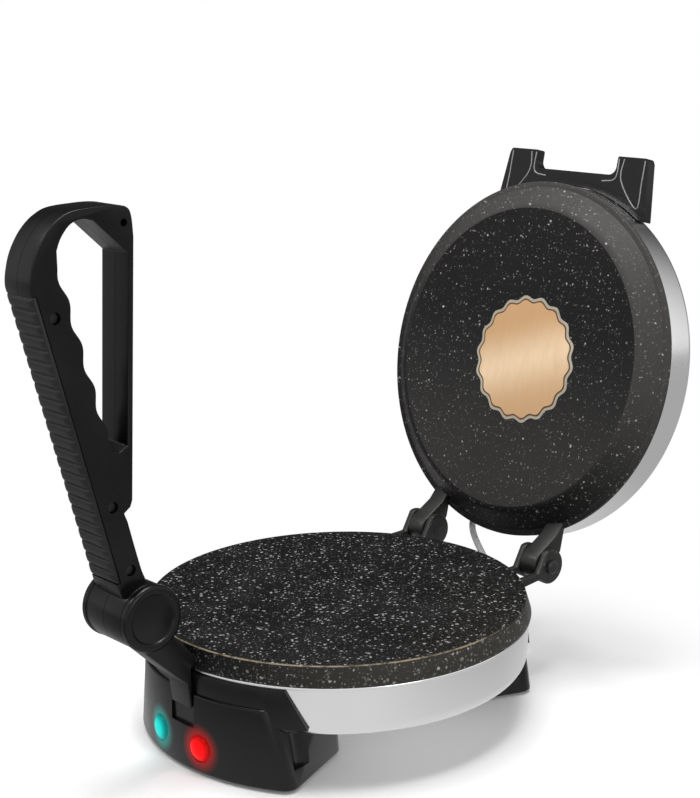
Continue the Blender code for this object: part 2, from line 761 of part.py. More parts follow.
def build_hinge_pins(steel):
    half = TONGUE_T / 2 + SIDE_PLAY + EAR_T
    profile = [
        (0.0, -half - GAP),
        (HINGE_PIN_R, -half - GAP),
        (HINGE_PIN_R, half + GAP),
        (HINGE_PIN_HEAD_R, half + GAP),
        (HINGE_PIN_HEAD_R, half + GAP + HINGE_PIN_HEAD * 0.6),
        (HINGE_PIN_HEAD_R * 0.7, half + GAP + HINGE_PIN_HEAD),
        (0.0, half + GAP + HINGE_PIN_HEAD),
    ]
    turned("hinge_pin_left", profile, steel, along_x(-HINGE_X, HINGE_Y, HINGE_Z, True), SMALL_SIDES)
    turned("hinge_pin_right", profile, steel, along_x(HINGE_X, HINGE_Y, HINGE_Z), SMALL_SIDES)


# Heaters


def heater_path(z, tail):
    """An almost closed ring whose two ends turn away from the plate."""
    start = -math.pi / 2 + HEATER_OPEN / 2
    sweep = math.tau - HEATER_OPEN
    ring = arc((0.0, 0.0), HEATER_R, start, start + sweep, HEATER_STEPS)
    path = [(x, y, z) for x, y in ring]
    step = math.copysign(HEATER_TUBE_R, tail)

    def turn_away(end, before):
        way = (Vector(end) - Vector(before)).normalized()
        shoulder = Vector(end) + way * HEATER_TUBE_R + Vector((0.0, 0.0, step * 0.4))
        knee = Vector(end) + way * HEATER_TUBE_R * 1.6 + Vector((0.0, 0.0, step * 1.2))
        return [tuple(shoulder), tuple(knee), tuple(knee + Vector((0.0, 0.0, tail)))]

    head = turn_away(path[0], path[1])[::-1]
    return head + path + turn_away(path[-1], path[-2])


def clamp_profile(z, away):
    """A thin pressed disc with one raised ring; away is 1 when the heater lies below it."""
    low, high = sorted((z, z + away * CLAMP_T))
    lift = away * CLAMP_RIB

    def skin(height):
        return [
            (BOLT_R + GAP, height),
            (CLAMP_RIB_R - CLAMP_RIB * 2, height),
            (CLAMP_RIB_R - CLAMP_RIB, height + lift),
            (CLAMP_RIB_R, height + lift),
            (CLAMP_RIB_R + CLAMP_RIB, height),
            (CLAMP_R, height),
        ]

    return skin(low) + skin(high)[::-1]


def clamp_z(away):
    """Height of the clamp plate's face next to the heater."""
    if away < 0:
        return COOK_Z - PLATE_T - 2 * GAP - 2 * HEATER_TUBE_R
    return COOK_Z + LID_REST_GAP + LID_CAST_T + 2 * GAP + 2 * HEATER_TUBE_R


def build_heater(prefix, away, element, steel, attach):
    """One heater, its clamp plate, bolt and nut. away is -1 under the lower plate and 1 over the upper."""
    face = clamp_z(away)
    z = face - away * (GAP + HEATER_TUBE_R)
    attach(tube(f"{prefix}_heater", heater_path(z, away * HEATER_TAIL), HEATER_TUBE_R, element, 1))
    plate = turned(f"{prefix}_clamp_plate", clamp_profile(face, away), steel, sides=BIG_SIDES // 2)
    slot = Matrix.Translation((0.0, -HEATER_R, face))
    slot_r = HEATER_R * math.sin(HEATER_OPEN / 2) + CLAMP_HOLE_R / 4
    cut(plate, rod(f"{prefix}_tail_slot", slot_r, -OVERRUN * 2, OVERRUN * 2, slot))
    attach(plate)
    cast = face - away * (2 * HEATER_TUBE_R + GAP)
    tip = face + away * (CLAMP_T + NUT_H + BOLT_TIP / 2)
    attach(turned(f"{prefix}_clamp_bolt", tipped(BOLT_R, *sorted((cast, tip)), BOLT_R / 4), steel, sides=TINY_SIDES))
    near = face + away * (CLAMP_T + GAP)
    low, high = sorted((near, near + away * NUT_H))
    nut = [(nut_bore(BOLT_R), low), (NUT_R, low), (NUT_R, high), (nut_bore(BOLT_R), high)]
    attach(turned(f"{prefix}_clamp_nut", nut, steel, sides=6))


def build_controls(ceramic, thermostat_finish):
    top = clamp_z(-1) - CLAMP_T - GAP
    place = Matrix.Translation((THERMOSTAT_X, 0.0, 0.0))
    body = [
        (0.0, top - THERMOSTAT_H),
        (THERMOSTAT_R * 0.6, top - THERMOSTAT_H),
        (THERMOSTAT_R * 0.7, top - THERMOSTAT_H / 2),
        (THERMOSTAT_R, top - THERMOSTAT_H / 2),
        (THERMOSTAT_R, top),
        (0.0, top),
    ]
    turned("thermostat", body, thermostat_finish, place, SMALL_SIDES)
    low = PAN_BOTTOM_Z + PAN_WALL + GAP
    outline = [
        (-BLOCK_X / 2, BLOCK_AT_Y - BLOCK_Y / 2),
        (BLOCK_X / 2, BLOCK_AT_Y - BLOCK_Y / 2),
        (BLOCK_X / 2, BLOCK_AT_Y + BLOCK_Y / 2),
        (-BLOCK_X / 2, BLOCK_AT_Y + BLOCK_Y / 2),
    ]
    block = prism("terminal_block", outline, ceramic, "Z", low, low + BLOCK_Z)
    for index in (-1, 0, 1):
        place = Matrix.Translation((index * BLOCK_WELL_PITCH, BLOCK_AT_Y, low + BLOCK_Z))
        cut(block, rod(f"block_well_{index}", BLOCK_WELL_R, -BLOCK_WELL, OVERRUN, place, TINY_SIDES))


# Lid


def lid_levels():
    """Heights of the shut lid: its flat, the foot of its lip, the lip's top and the shell's top."""
    flat = COOK_Z + LID_REST_GAP
    lip_low = flat + LID_BAND_H
    lip_high = lip_low + LID_LIP
    return flat, lip_low, lip_high, lip_high + GAP + SHELL_H


def build_upper_plate(granite):
    flat, lip_low, lip_high, _ = lid_levels()
    inner = flat + LID_CAST_T
    profile = [
        (0.0, flat),
        (LID_FLAT_R - PLATE_EASE * 2, flat),
        (LID_FLAT_R, flat + PLATE_EASE),
        (LID_BAND_R, lip_low),
        (LID_LIP_R - PLATE_EASE, lip_low),
        (LID_LIP_R, lip_low + PLATE_EASE),
        (LID_LIP_R, lip_high),
        (LID_LIP_R - LID_LIP_W, lip_high),
        (LID_FLAT_R - LID_CAST_T / 2, inner),
        (0.0, inner),
    ]
    plate = turned("upper_plate", profile, granite)
    root_y = HINGE_Y - EAR_ROOT
    tongue = hinge_arc(TONGUE_R, 75.0, -140.0) + [
        (root_y + LID_BAND_H, flat + LID_BAND_H / 2),
        (root_y, lip_low + PLATE_EASE),
        (root_y, lip_high - PLATE_EASE),
        (HINGE_Y - TONGUE_R, lip_high - PLATE_EASE),
    ]
    for side, hand in ((-1, "left"), (1, "right")):
        low_x, high_x = sorted((side * HINGE_X - TONGUE_T / 2, side * HINGE_X + TONGUE_T / 2))
        fuse(plate, prism(f"tongue_{hand}", tongue, axis="X", low=low_x, high=high_x))
        place = along_x(side * HINGE_X, HINGE_Y, HINGE_Z)
        cut(plate, rod(f"tongue_bore_{hand}", HINGE_PIN_R + GAP, -TONGUE_T, TONGUE_T, place))
    return plate


def shell_profile(shrink):
    """Outer line of the lid's shell from its lower edge to the centre of its top, moved in by shrink."""
    _, _, lip_high, top = lid_levels()
    low = lip_high + GAP
    corner = arc(
        (SHELL_R - SHELL_CORNER, top - SHELL_CORNER), SHELL_CORNER - shrink, 0.0, math.pi / 2, 4
    )
    step = [(SHELL_STEP_R, top - shrink), (SHELL_STEP_R - SHELL_STEP * 2, top - SHELL_STEP - shrink)]
    return [(SHELL_R - shrink, low)] + corner + step + [(0.0, top - SHELL_STEP - shrink)]


def bracket_screw_frame(side):
    """Frame of a bracket screw, its axis pointing out through the lid's side."""
    _, _, _, top = lid_levels()
    angle = math.radians(side * BRACKET_SCREW_DEG)
    way = (math.sin(angle), -math.cos(angle), 0.0)
    z = top + BRACKET_PROUD - BRACKET_T - SHELL_CORNER + BRACKET_SCREW_UP
    return outward((way[0] * SHELL_R, way[1] * SHELL_R, z), way)


def lid_lead_frame():
    return round_wall(SHELL_R, LEAD_LID_X, lid_levels()[2] + LEAD_LID_UP)


def build_lid_shell(chrome):
    shell = turned("lid_shell", shell_profile(0.0) + shell_profile(SHELL_WALL)[::-1], chrome)
    for side in (-1, 1):
        frame = bracket_screw_frame(side)
        cut(shell, rod(f"shell_hole_{side}", BRACKET_SCREW_R + GAP, -OVERRUN, OVERRUN, frame, TINY_SIDES))
    cut(shell, rod("shell_lead_hole", GROMMET_NECK_R + GAP, -OVERRUN, OVERRUN, lid_lead_frame(), TINY_SIDES))
    return shell


def build_bracket(plastic):
    """Black bracket at the lid's front, with two prongs that straddle the handle."""
    _, _, _, top = lid_levels()
    reach = SHELL_R + GAP
    side_y = math.sqrt(reach * reach - BRACKET_SIDE_X * BRACKET_SIDE_X)
    end = math.asin(BRACKET_SIDE_X / reach)
    inner = arc((0.0, 0.0), reach, -math.pi / 2 + end, -math.pi / 2 - end, 22)
    notch = curve_corner(
        (-PRONG_IN_X, -BRACKET_WEB_Y - BRACKET_NOTCH_R),
        (-PRONG_IN_X, -BRACKET_WEB_Y),
        (-PRONG_IN_X + BRACKET_NOTCH_R, -BRACKET_WEB_Y),
    )
    left = [(-BRACKET_SIDE_X - BRACKET_EDGE, -side_y), (-PRONG_OUT_X, -PRONG_Y), (-PRONG_IN_X, -PRONG_Y)] + notch
    right = [(-x, y) for x, y in left[::-1]]
    high = top + BRACKET_PROUD
    low = high - BRACKET_T - SHELL_CORNER
    body = prism("lid_bracket", left + right + inner[1:-1], plastic, "Z", low, high)
    floor = high - BRACKET_T
    skirt_r = SHELL_R + BRACKET_SKIRT_T
    beyond = PRONG_Y + BRACKET_SIDE_X
    relief = [(skirt_r, low - OVERRUN), (beyond, low - OVERRUN), (beyond, floor), (skirt_r, floor)]
    soften(body, BRACKET_EDGE, 1)
    cut(body, turned("skirt_relief", relief))
    for side in (-1, 1):
        frame = bracket_screw_frame(side)
        cut(body, rod(f"bracket_bore_{side}", BRACKET_SCREW_R + GAP, -OVERRUN, BRACKET_SCREW_IN, frame, TINY_SIDES))
    return body


def build_bracket_screws(steel, attach):
    back = -SHELL_WALL - GAP
    profile = [
        (0.0, back - BRACKET_SCREW_HEAD),
        (BRACKET_SCREW_HEAD_R, back - BRACKET_SCREW_HEAD),
        (BRACKET_SCREW_HEAD_R, back),
        (BRACKET_SCREW_R, back),
        (BRACKET_SCREW_R, BRACKET_SCREW_IN - 2 * GAP),
        (0.0, BRACKET_SCREW_IN - 2 * GAP),
    ]
    for side, hand in ((-1, "left"), (1, "right")):
        attach(turned(f"bracket_screw_{hand}", profile, steel, bracket_screw_frame(side), TINY_SIDES))


def build_seal(gold):
    """Plain scalloped seal under the lid's flat."""
    flat = lid_levels()[0]
    count = SEAL_LOBES * SEAL_LOBE_STEPS
    outline = []
    for i in range(count):
        angle = math.tau * i / count
        radius = SEAL_R - SEAL_SCALLOP / 2 + SEAL_SCALLOP / 2 * math.cos(SEAL_LOBES * angle)
        outline.append((SEAL_X + radius * math.cos(angle), radius * math.sin(angle)))
    return prism("seal_badge", outline, gold, "Z", flat - GAP - SEAL_T, flat - GAP)


def grommet_profile():
    """Rubber ring with a neck through the wall; its rim lies outside."""
    return [
        (LEAD_R + GAP, -GROMMET_IN),
        (GROMMET_NECK_R, -GROMMET_IN),
        (GROMMET_NECK_R, GAP * 2),
        (GROMMET_R, GAP * 2),
        (GROMMET_R, GROMMET_T * 0.7),
        (GROMMET_R * 0.85, GROMMET_T),
        (LEAD_R + GAP, GROMMET_T),
    ]


def open_turn():
    """Turns a place on the shut lid to the open lid."""
    to_axis = Matrix.Translation((0.0, HINGE_Y, HINGE_Z))
    return to_axis @ Matrix.Rotation(-LID_OPEN, 4, "X") @ to_axis.inverted()


def build_lead(lead_finish, rubber, attach_lid):
    """Heater lead from the open lid's side down into the pan's back."""
    pan_frame = pan_lead_frame()
    turned("pan_grommet", grommet_profile(), rubber, pan_frame, SMALL_SIDES)
    attach_lid(turned("lid_grommet", grommet_profile(), rubber, lid_lead_frame(), SMALL_SIDES))
    lid_frame = open_turn() @ lid_lead_frame()
    start = lid_frame @ Vector((0.0, 0.0, -GROMMET_IN))
    leave = lid_frame @ Vector((0.0, 0.0, GROMMET_T))
    way = (leave - start).normalized()
    end = pan_frame @ Vector((0.0, 0.0, -GROMMET_IN))
    enter = pan_frame @ Vector((0.0, 0.0, GROMMET_T))
    first = leave + way * LEAD_SAG
    last = pan_frame @ Vector((0.0, 0.0, GROMMET_T + LEAD_SAG))
    path = [tuple(start)]
    for i in range(LEAD_STEPS + 1):
        t = i / LEAD_STEPS
        blend = (
            leave * (1 - t) ** 3 + first * 3 * t * (1 - t) ** 2 + last * 3 * t * t * (1 - t) + enter * t ** 3
        )
        path.append(tuple(blend))
    path.append(tuple(end))
    return tube("heater_lead", path, LEAD_R, lead_finish, 2)


# Handle


def handle_point(share):
    return (PIVOT_Y - share[0] * HANDLE_REACH, PIVOT_Z + share[1] * HANDLE_RISE)


def handle_line():
    """The grip's straight outer face: its upper end, its lower end and the way out of the grip."""
    high = Vector(handle_point(GRIP_HIGH_SHARE))
    low = Vector(handle_point(GRIP_LOW_SHARE))
    way = (low - high).normalized()
    return high, low, Vector((way.y, -way.x))


def handle_outline():
    shares = NECK_SHARES + STEP_SHARES + BAR_TOP_SHARES + CROWN_SHARES
    shares = shares + [GRIP_HIGH_SHARE, GRIP_LOW_SHARE] + HEEL_SHARES
    return [handle_point(share) for share in shares]


def bar_inner(rise_share):
    """Place on the bar's inner face at a share of the rise."""
    low = Vector(handle_point(STEP_SHARES[-1]))
    high = Vector(handle_point(BAR_TOP_SHARES[0]))
    z = PIVOT_Z + rise_share * HANDLE_RISE
    y = low.x + (high.x - low.x) * (z - low.y) / (high.y - low.y)
    return (y - BAR_T, z)


def loop_outline():
    """The finger opening: a wavy grip side, a rounded crown, a sloping gusset and the bar's inner face."""
    low = Vector(handle_point(LOOP_LOW_SHARE))
    high = Vector(handle_point(LOOP_HIGH_SHARE))
    way = (high - low).normalized()
    side = Vector((way.y, -way.x))
    count = WAVES * WAVE_STEPS
    grip = []
    for i in range(count + 1):
        t = i / count
        place = low.lerp(high, t) + side * WAVE * math.sin(math.tau * WAVES * t)
        grip.append((place.x, place.y))
    crown = [handle_point(share) for share in LOOP_CROWN_SHARES]
    heel = [handle_point(share) for share in LOOP_HEEL_SHARES]
    return grip + crown + [bar_inner(LOOP_GUSSET_SHARE), bar_inner(LOOP_FOOT_SHARE)] + heel


def pad_band(inner, outer, inset):
    """Four corners of a band along the grip's outer face."""
    high, low, out = handle_line()
    way = (low - high).normalized()
    first = high + way * inset
    last = low - way * inset
    corners = [first + out * outer, last + out * outer, last - out * inner, first - out * inner]
    return [(c.x, c.y) for c in corners]


def build_handle_shell(hand, side, plastic, attach):
    """One half of the handle; side is 1 for the +X half."""
    low, high = sorted((-side * OVERRUN, side * HANDLE_T / 2))
    shell = prism(f"handle_shell_{hand}", handle_outline(), plastic, "X", low, high)
    cut(shell, prism(f"loop_{hand}", loop_outline(), axis="X", low=-HANDLE_T, high=HANDLE_T))
    soften(shell, SHELL_SOFT, 2)
    frame = along_x(0.0, PIVOT_Y, PIVOT_Z, side < 0)
    fuse(shell, turned(f"barrel_{hand}", tipped(BARREL_R, -OVERRUN / 2, BARREL_HALF, GAP), None, frame, BARREL_SIDES))
    low, high = sorted((side * SEAM / 2, -side * BARREL_HALF))
    reach = (PIVOT_Y + HANDLE_REACH, PIVOT_Y - HANDLE_REACH * 2)
    span = (PIVOT_Z - HANDLE_REACH, PIVOT_Z + HANDLE_RISE * 2)
    half = [(reach[0], span[0]), (reach[1], span[0]), (reach[1], span[1]), (reach[0], span[1])]
    cut(shell, prism(f"far_half_{hand}", half, axis="X", low=low, high=high))
    slot = ARM_T / 2 + SIDE_PLAY
    sweep = pivot_arc(BARREL_R + SLOT_OVER, -120.0, 60.0, 12) + pivot_arc(EYE_R + EYE_PLAY, 60.0, 240.0, 16)
    low, high = sorted((-side * OVERRUN, side * slot))
    cut(shell, prism(f"arm_sweep_{hand}", sweep, axis="X", low=low, high=high))
    bore = (BUSH_R - BUSH_WALL + GAP, -OVERRUN, PIVOT_HEAD_AT - GAP)
    well = (PIVOT_HEAD_R + GAP, PIVOT_HEAD_AT - GAP, BARREL_HALF + OVERRUN)
    cut(shell, stepped(f"pivot_bore_{hand}", [bore, well], frame))
    band = pad_band(PAD_DEEP + GAP, PAD_DEEP, PAD_END)
    cut(shell, prism(f"pad_seat_{hand}", band, axis="X", low=-HANDLE_T, high=HANDLE_T))
    hang = handle_point(HANG_HOLE_SHARE)
    cut(shell, rod(f"hang_hole_{hand}", HANG_HOLE_R, -HANDLE_T, HANDLE_T, along_x(0.0, *hang), TINY_SIDES))
    for word, share in HANDLE_SCREW_SHARES.items():
        place = along_x(0.0, *handle_point(share))
        head = HANDLE_T / 2 - HANDLE_SCREW_SINK
        sink = head - HANDLE_SCREW_HEAD
        bore = (HANDLE_SCREW_R + GAP, head - HANDLE_SCREW_LEN - GAP, sink)
        well = (HANDLE_SCREW_HEAD_R + GAP, sink, HANDLE_T)
        cut(shell, stepped(f"screw_bore_{hand}_{word}", [bore, well], place, TINY_SIDES))
    attach(shell)


def build_pad(rubber, attach):
    """Ribbed pad set into the grip's outer face."""
    high, low, out = handle_line()
    way = (low - high).normalized()
    start = high + way * (PAD_END + GAP)
    pitch = ((low - high).length - 2 * (PAD_END + GAP)) / RIBS
    outline = []
    for i in range(RIBS):
        for share, lift in ((0.0, -RIB_DOWN), (0.22, RIB_UP), (0.62, RIB_UP), (0.84, -RIB_DOWN)):
            place = start + way * pitch * (i + share) + out * lift
            outline.append((place.x, place.y))
    end = start + way * pitch * RIBS
    for place in (end - out * RIB_DOWN, end - out * PAD_DEEP, start - out * PAD_DEEP):
        outline.append((place.x, place.y))
    half = HANDLE_T / 2 - GAP
    attach(prism("grip_pad", outline, rubber, "X", -half, half))


def build_pivot(steel, plastic, attach):
    frame = along_x(0.0, PIVOT_Y, PIVOT_Z)
    bush = [
        (BUSH_R - BUSH_WALL + GAP, -ARM_T / 2),
        (BUSH_R, -ARM_T / 2),
        (BUSH_R, ARM_T / 2),
        (BUSH_R - BUSH_WALL + GAP, ARM_T / 2),
    ]
    turned("pivot_bush", bush, steel, frame, SMALL_SIDES)
    shaft_r = BUSH_R - BUSH_WALL
    nut_near = -PIVOT_HEAD_AT - GAP
    bolt = [
        (0.0, nut_near - PIVOT_HEAD),
        (shaft_r, nut_near - PIVOT_HEAD),
        (shaft_r, PIVOT_HEAD_AT),
        (PIVOT_HEAD_R, PIVOT_HEAD_AT),
        (PIVOT_HEAD_R, PIVOT_HEAD_AT + PIVOT_HEAD),
        (0.0, PIVOT_HEAD_AT + PIVOT_HEAD),
    ]
    attach(turned("pivot_bolt", bolt, steel, frame, SMALL_SIDES))
    nut = [
        (nut_bore(shaft_r), nut_near - PIVOT_HEAD),
        (PIVOT_HEAD_R, nut_near - PIVOT_HEAD),
        (PIVOT_HEAD_R, nut_near),
        (nut_bore(shaft_r), nut_near),
    ]
    attach(turned("pivot_nut", nut, steel, frame, 6))
    face = BARREL_HALF + GAP
    cap = [
        (0.0, face),
        (CAP_R - CAP_EDGE / 2, face),
        (CAP_R, face + CAP_EDGE / 2),
        (CAP_R, face + CAP_T - CAP_EDGE),
        (CAP_R - CAP_EDGE, face + CAP_T),
        (CAP_DISH_R + CAP_DISH, face + CAP_T),
        (CAP_DISH_R, face + CAP_T - CAP_DISH),
        (CAP_DISH_R - CAP_DISH, face + CAP_T - CAP_DISH),
        (CAP_DISH_R * 0.5, face + CAP_T - CAP_DISH * 0.4),
        (0.0, face + CAP_T - CAP_DISH * 0.25),
    ]
    attach(turned("pivot_cap_right", cap, plastic, frame, BARREL_SIDES))
    attach(turned("pivot_cap_left", cap, plastic, along_x(0.0, PIVOT_Y, PIVOT_Z, True), BARREL_SIDES))


def build_handle_screws(steel, attach):
    head = HANDLE_T / 2 - HANDLE_SCREW_SINK
    base = head - HANDLE_SCREW_HEAD + GAP
    profile = [
        (0.0, head - HANDLE_SCREW_LEN),
        (HANDLE_SCREW_R, head - HANDLE_SCREW_LEN),
        (HANDLE_SCREW_R, base),
        (HANDLE_SCREW_HEAD_R, base),
        (HANDLE_SCREW_HEAD_R, head),
        (0.0, head),
    ]
    for word, share in HANDLE_SCREW_SHARES.items():
        attach(turned(f"handle_screw_{word}", profile, steel, along_x(0.0, *handle_point(share)), TINY_SIDES))


def joint_empty(name, place):
    empty = bpy.data.objects.new(name, None)
    empty.location = place
    bpy.context.scene.collection.objects.link(empty)
    return empty


def carrier(empty):
    """A function that hangs a piece, built where it lies, on a joint's empty."""

    def attach(thing):
        thing.parent = empty
        thing.location = thing.location - empty.location
        return thing

    return attach


def main():
    clear_scene()
    granite = finish("granite_coating", (0.035, 0.035, 0.037), 0.45)
    chrome = finish("polished_steel", (0.80, 0.80, 0.82), 0.18, 1.0)
    steel = finish("zinc_steel", (0.55, 0.56, 0.58), 0.35, 1.0)
    plastic = finish("satin_black_plastic", (0.018, 0.018, 0.019), 0.38)
    pad_rubber = finish("grip_rubber", (0.022, 0.022, 0.023), 0.62)
    rubber = finish("black_rubber", (0.030, 0.030, 0.030), 0.80)
    element = finish("heater_sheath", (0.20, 0.19, 0.18), 0.55, 1.0)
    ceramic = finish("white_ceramic", (0.82, 0.80, 0.75), 0.50)
    bakelite = finish("brown_bakelite", (0.16, 0.07, 0.03), 0.45)
    green = finish("green_lens", (0.03, 0.62, 0.56), 0.20)
    red = finish("red_lens", (0.85, 0.02, 0.03), 0.20)
    gold = finish("seal_gold", (0.80, 0.56, 0.38), 0.42)
    sleeve = finish("grey_sleeve", (0.58, 0.58, 0.58), 0.75)

    base = joint_empty("base_axis", (0.0, 0.0, 0.0))
    lid_axis = joint_empty("lid_axis", (0.0, HINGE_Y, HINGE_Z))
    handle_axis = joint_empty("handle_axis", (0.0, PIVOT_Y, PIVOT_Z))
    on_base = carrier(base)
    on_lid = carrier(lid_axis)
    on_handle = carrier(handle_axis)

    build_lower_plate(granite)
    build_pan(chrome)
    build_stands(plastic)
    build_feet(rubber)
    build_stand_screws(steel)
    build_lamps(green, red, ceramic)
    build_gland(rubber)
    build_hinge_pins(steel)
    build_heater("lower", -1, element, steel, on_base)
    build_controls(ceramic, bakelite)

    on_lid(build_upper_plate(granite))
    on_lid(build_lid_shell(chrome))
    build_heater("upper", 1, element, steel, on_lid)
    on_lid(build_bracket(plastic))
    build_bracket_screws(steel, on_lid)
    on_lid(build_seal(gold))
    build_lead(sleeve, rubber, on_lid)

    build_handle_shell("left", -1, plastic, on_handle)
    build_handle_shell("right", 1, plastic, on_handle)
    build_pad(pad_rubber, on_handle)
    build_pivot(steel, plastic, on_handle)
    build_handle_screws(steel, on_handle)

    for thing in bpy.data.objects:
        if thing.parent is None and thing is not base:
            thing.parent = base
    base.location.y = ORIGIN_Y
    lid_axis.rotation_euler.x = -LID_OPEN


main()
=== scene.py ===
"""Electric roti maker: finishes, finely meshed pieces, studio and camera on the CAD frame."""

import json
import logging
import math
from dataclasses import dataclass
from enum import Enum

import bmesh
import bpy
from mathutils import Matrix, Vector


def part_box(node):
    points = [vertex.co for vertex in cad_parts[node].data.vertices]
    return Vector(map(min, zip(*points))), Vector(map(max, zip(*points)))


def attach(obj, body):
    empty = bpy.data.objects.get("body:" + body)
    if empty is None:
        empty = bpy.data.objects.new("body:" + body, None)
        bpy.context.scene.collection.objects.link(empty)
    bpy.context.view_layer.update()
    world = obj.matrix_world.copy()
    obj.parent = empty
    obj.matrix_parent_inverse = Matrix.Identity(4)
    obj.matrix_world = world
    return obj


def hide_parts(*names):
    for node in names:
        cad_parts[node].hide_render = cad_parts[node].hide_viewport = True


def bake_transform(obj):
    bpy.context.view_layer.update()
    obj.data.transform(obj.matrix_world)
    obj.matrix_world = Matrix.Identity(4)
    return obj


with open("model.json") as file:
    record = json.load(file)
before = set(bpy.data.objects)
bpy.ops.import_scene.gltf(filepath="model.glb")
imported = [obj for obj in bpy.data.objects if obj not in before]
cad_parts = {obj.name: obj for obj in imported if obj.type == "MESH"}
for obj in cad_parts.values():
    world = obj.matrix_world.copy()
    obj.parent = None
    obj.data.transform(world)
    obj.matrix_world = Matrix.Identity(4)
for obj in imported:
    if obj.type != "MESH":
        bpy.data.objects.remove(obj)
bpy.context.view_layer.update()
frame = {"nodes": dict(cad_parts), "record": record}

LOG = logging.getLogger("roti_maker")
Point2 = tuple[float, float]
Point3 = tuple[float, float, float]
Colour = tuple[float, float, float]
Socket = bpy.types.NodeSocket
Value = Socket | float | tuple
Piece = bpy.types.Object

# Places (y, z) of the two joints in the disc's own frame, and how far to each side the hinges are.
HANDLE_PIVOT: Point2 = (-0.160, 0.111)
LID_HINGE: Point2 = (0.133, 0.0795)
HINGE_X = 0.054
BLACK: Colour = (0.0, 0.0, 0.0)
FALL: Point2 = (1.0, 0.0)
DISC_SIDES = 256
SHARP_ANGLE = 32.0


class Body(Enum):
    """Rigid bodies of the CAD frame."""

    BASE = "base"
    LID = "lid"
    HANDLE = "handle"


class Side(Enum):
    """Left and right of the part, with the sign of X there."""

    LEFT = -1
    RIGHT = 1

    @property
    def word(self) -> str:
        """Lower-case name used in piece names."""
        return self.name.lower()


def arc(centre: Point2, radius: float, start: float, end: float, steps: int) -> list[Point2]:
    """Points along an arc.

    Args:
        centre: Centre of the arc.
        radius: Radius of the arc.
        start: First angle in degrees.
        end: Last angle in degrees.
        steps: Number of segments.

    Returns:
        The points, both ends included.
    """
    turns = [math.radians(start + (end - start) * i / steps) for i in range(steps + 1)]
    return [(centre[0] + radius * math.cos(a), centre[1] + radius * math.sin(a)) for a in turns]


def between(a: float, b: float, c: float, d: float, t: float) -> float:
    """Value at share t from b to c on a smooth Catmull-Rom line through a, b, c and d."""
    return 0.5 * (2 * b + (c - a) * t + (2 * a - 5 * b + 4 * c - d) * t**2 + (3 * b - a - 3 * c + d) * t**3)


def rounded(points: list[Point2], steps: int = 5) -> list[Point2]:
    """Smooth open line through points.

    Args:
        points: Places that the line passes through.
        steps: Segments between two of them.

    Returns:
        The finer line, both ends included.
    """
    ring = [points[0], *points, points[-1]]
    line = []
    for four in zip(ring, ring[1:], ring[2:], ring[3:]):
        line += [tuple(between(*axis, i / steps) for axis in zip(*four)) for i in range(steps)]
    return line + [points[-1]]


@dataclass(frozen=True)
class Places:
    """Frames of the fixed and the lifted half, read from the frame."""

    axis_y: float
    hinge: Vector
    lid_open: float

    @classmethod
    def read(cls) -> "Places":
        """Reads the disc axis and the lid's joint.

        Returns:
            The places of this frame.
        """
        joints = {joint["name"]: joint for joint in frame["record"]["behaviour"]["joints"]}
        lid = joints["lid_hinge"]
        low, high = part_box("lower_clamp_bolt")
        return cls(
            axis_y=(low.y + high.y) / 2,
            hinge=Vector(lid["pos_m"]),
            lid_open=math.radians(lid["range_deg"][1]),
        )

    @property
    def base(self) -> Matrix:
        """From the disc's own frame to the row frame."""
        return Matrix.Translation((0.0, self.axis_y, 0.0))

    @property
    def lid(self) -> Matrix:
        """From the shut lid in the disc's frame to the open lid in the row frame."""
        there = Matrix.Translation(self.hinge)
        return there @ Matrix.Rotation(-self.lid_open, 4, "X") @ there.inverted() @ self.base


# Shader building


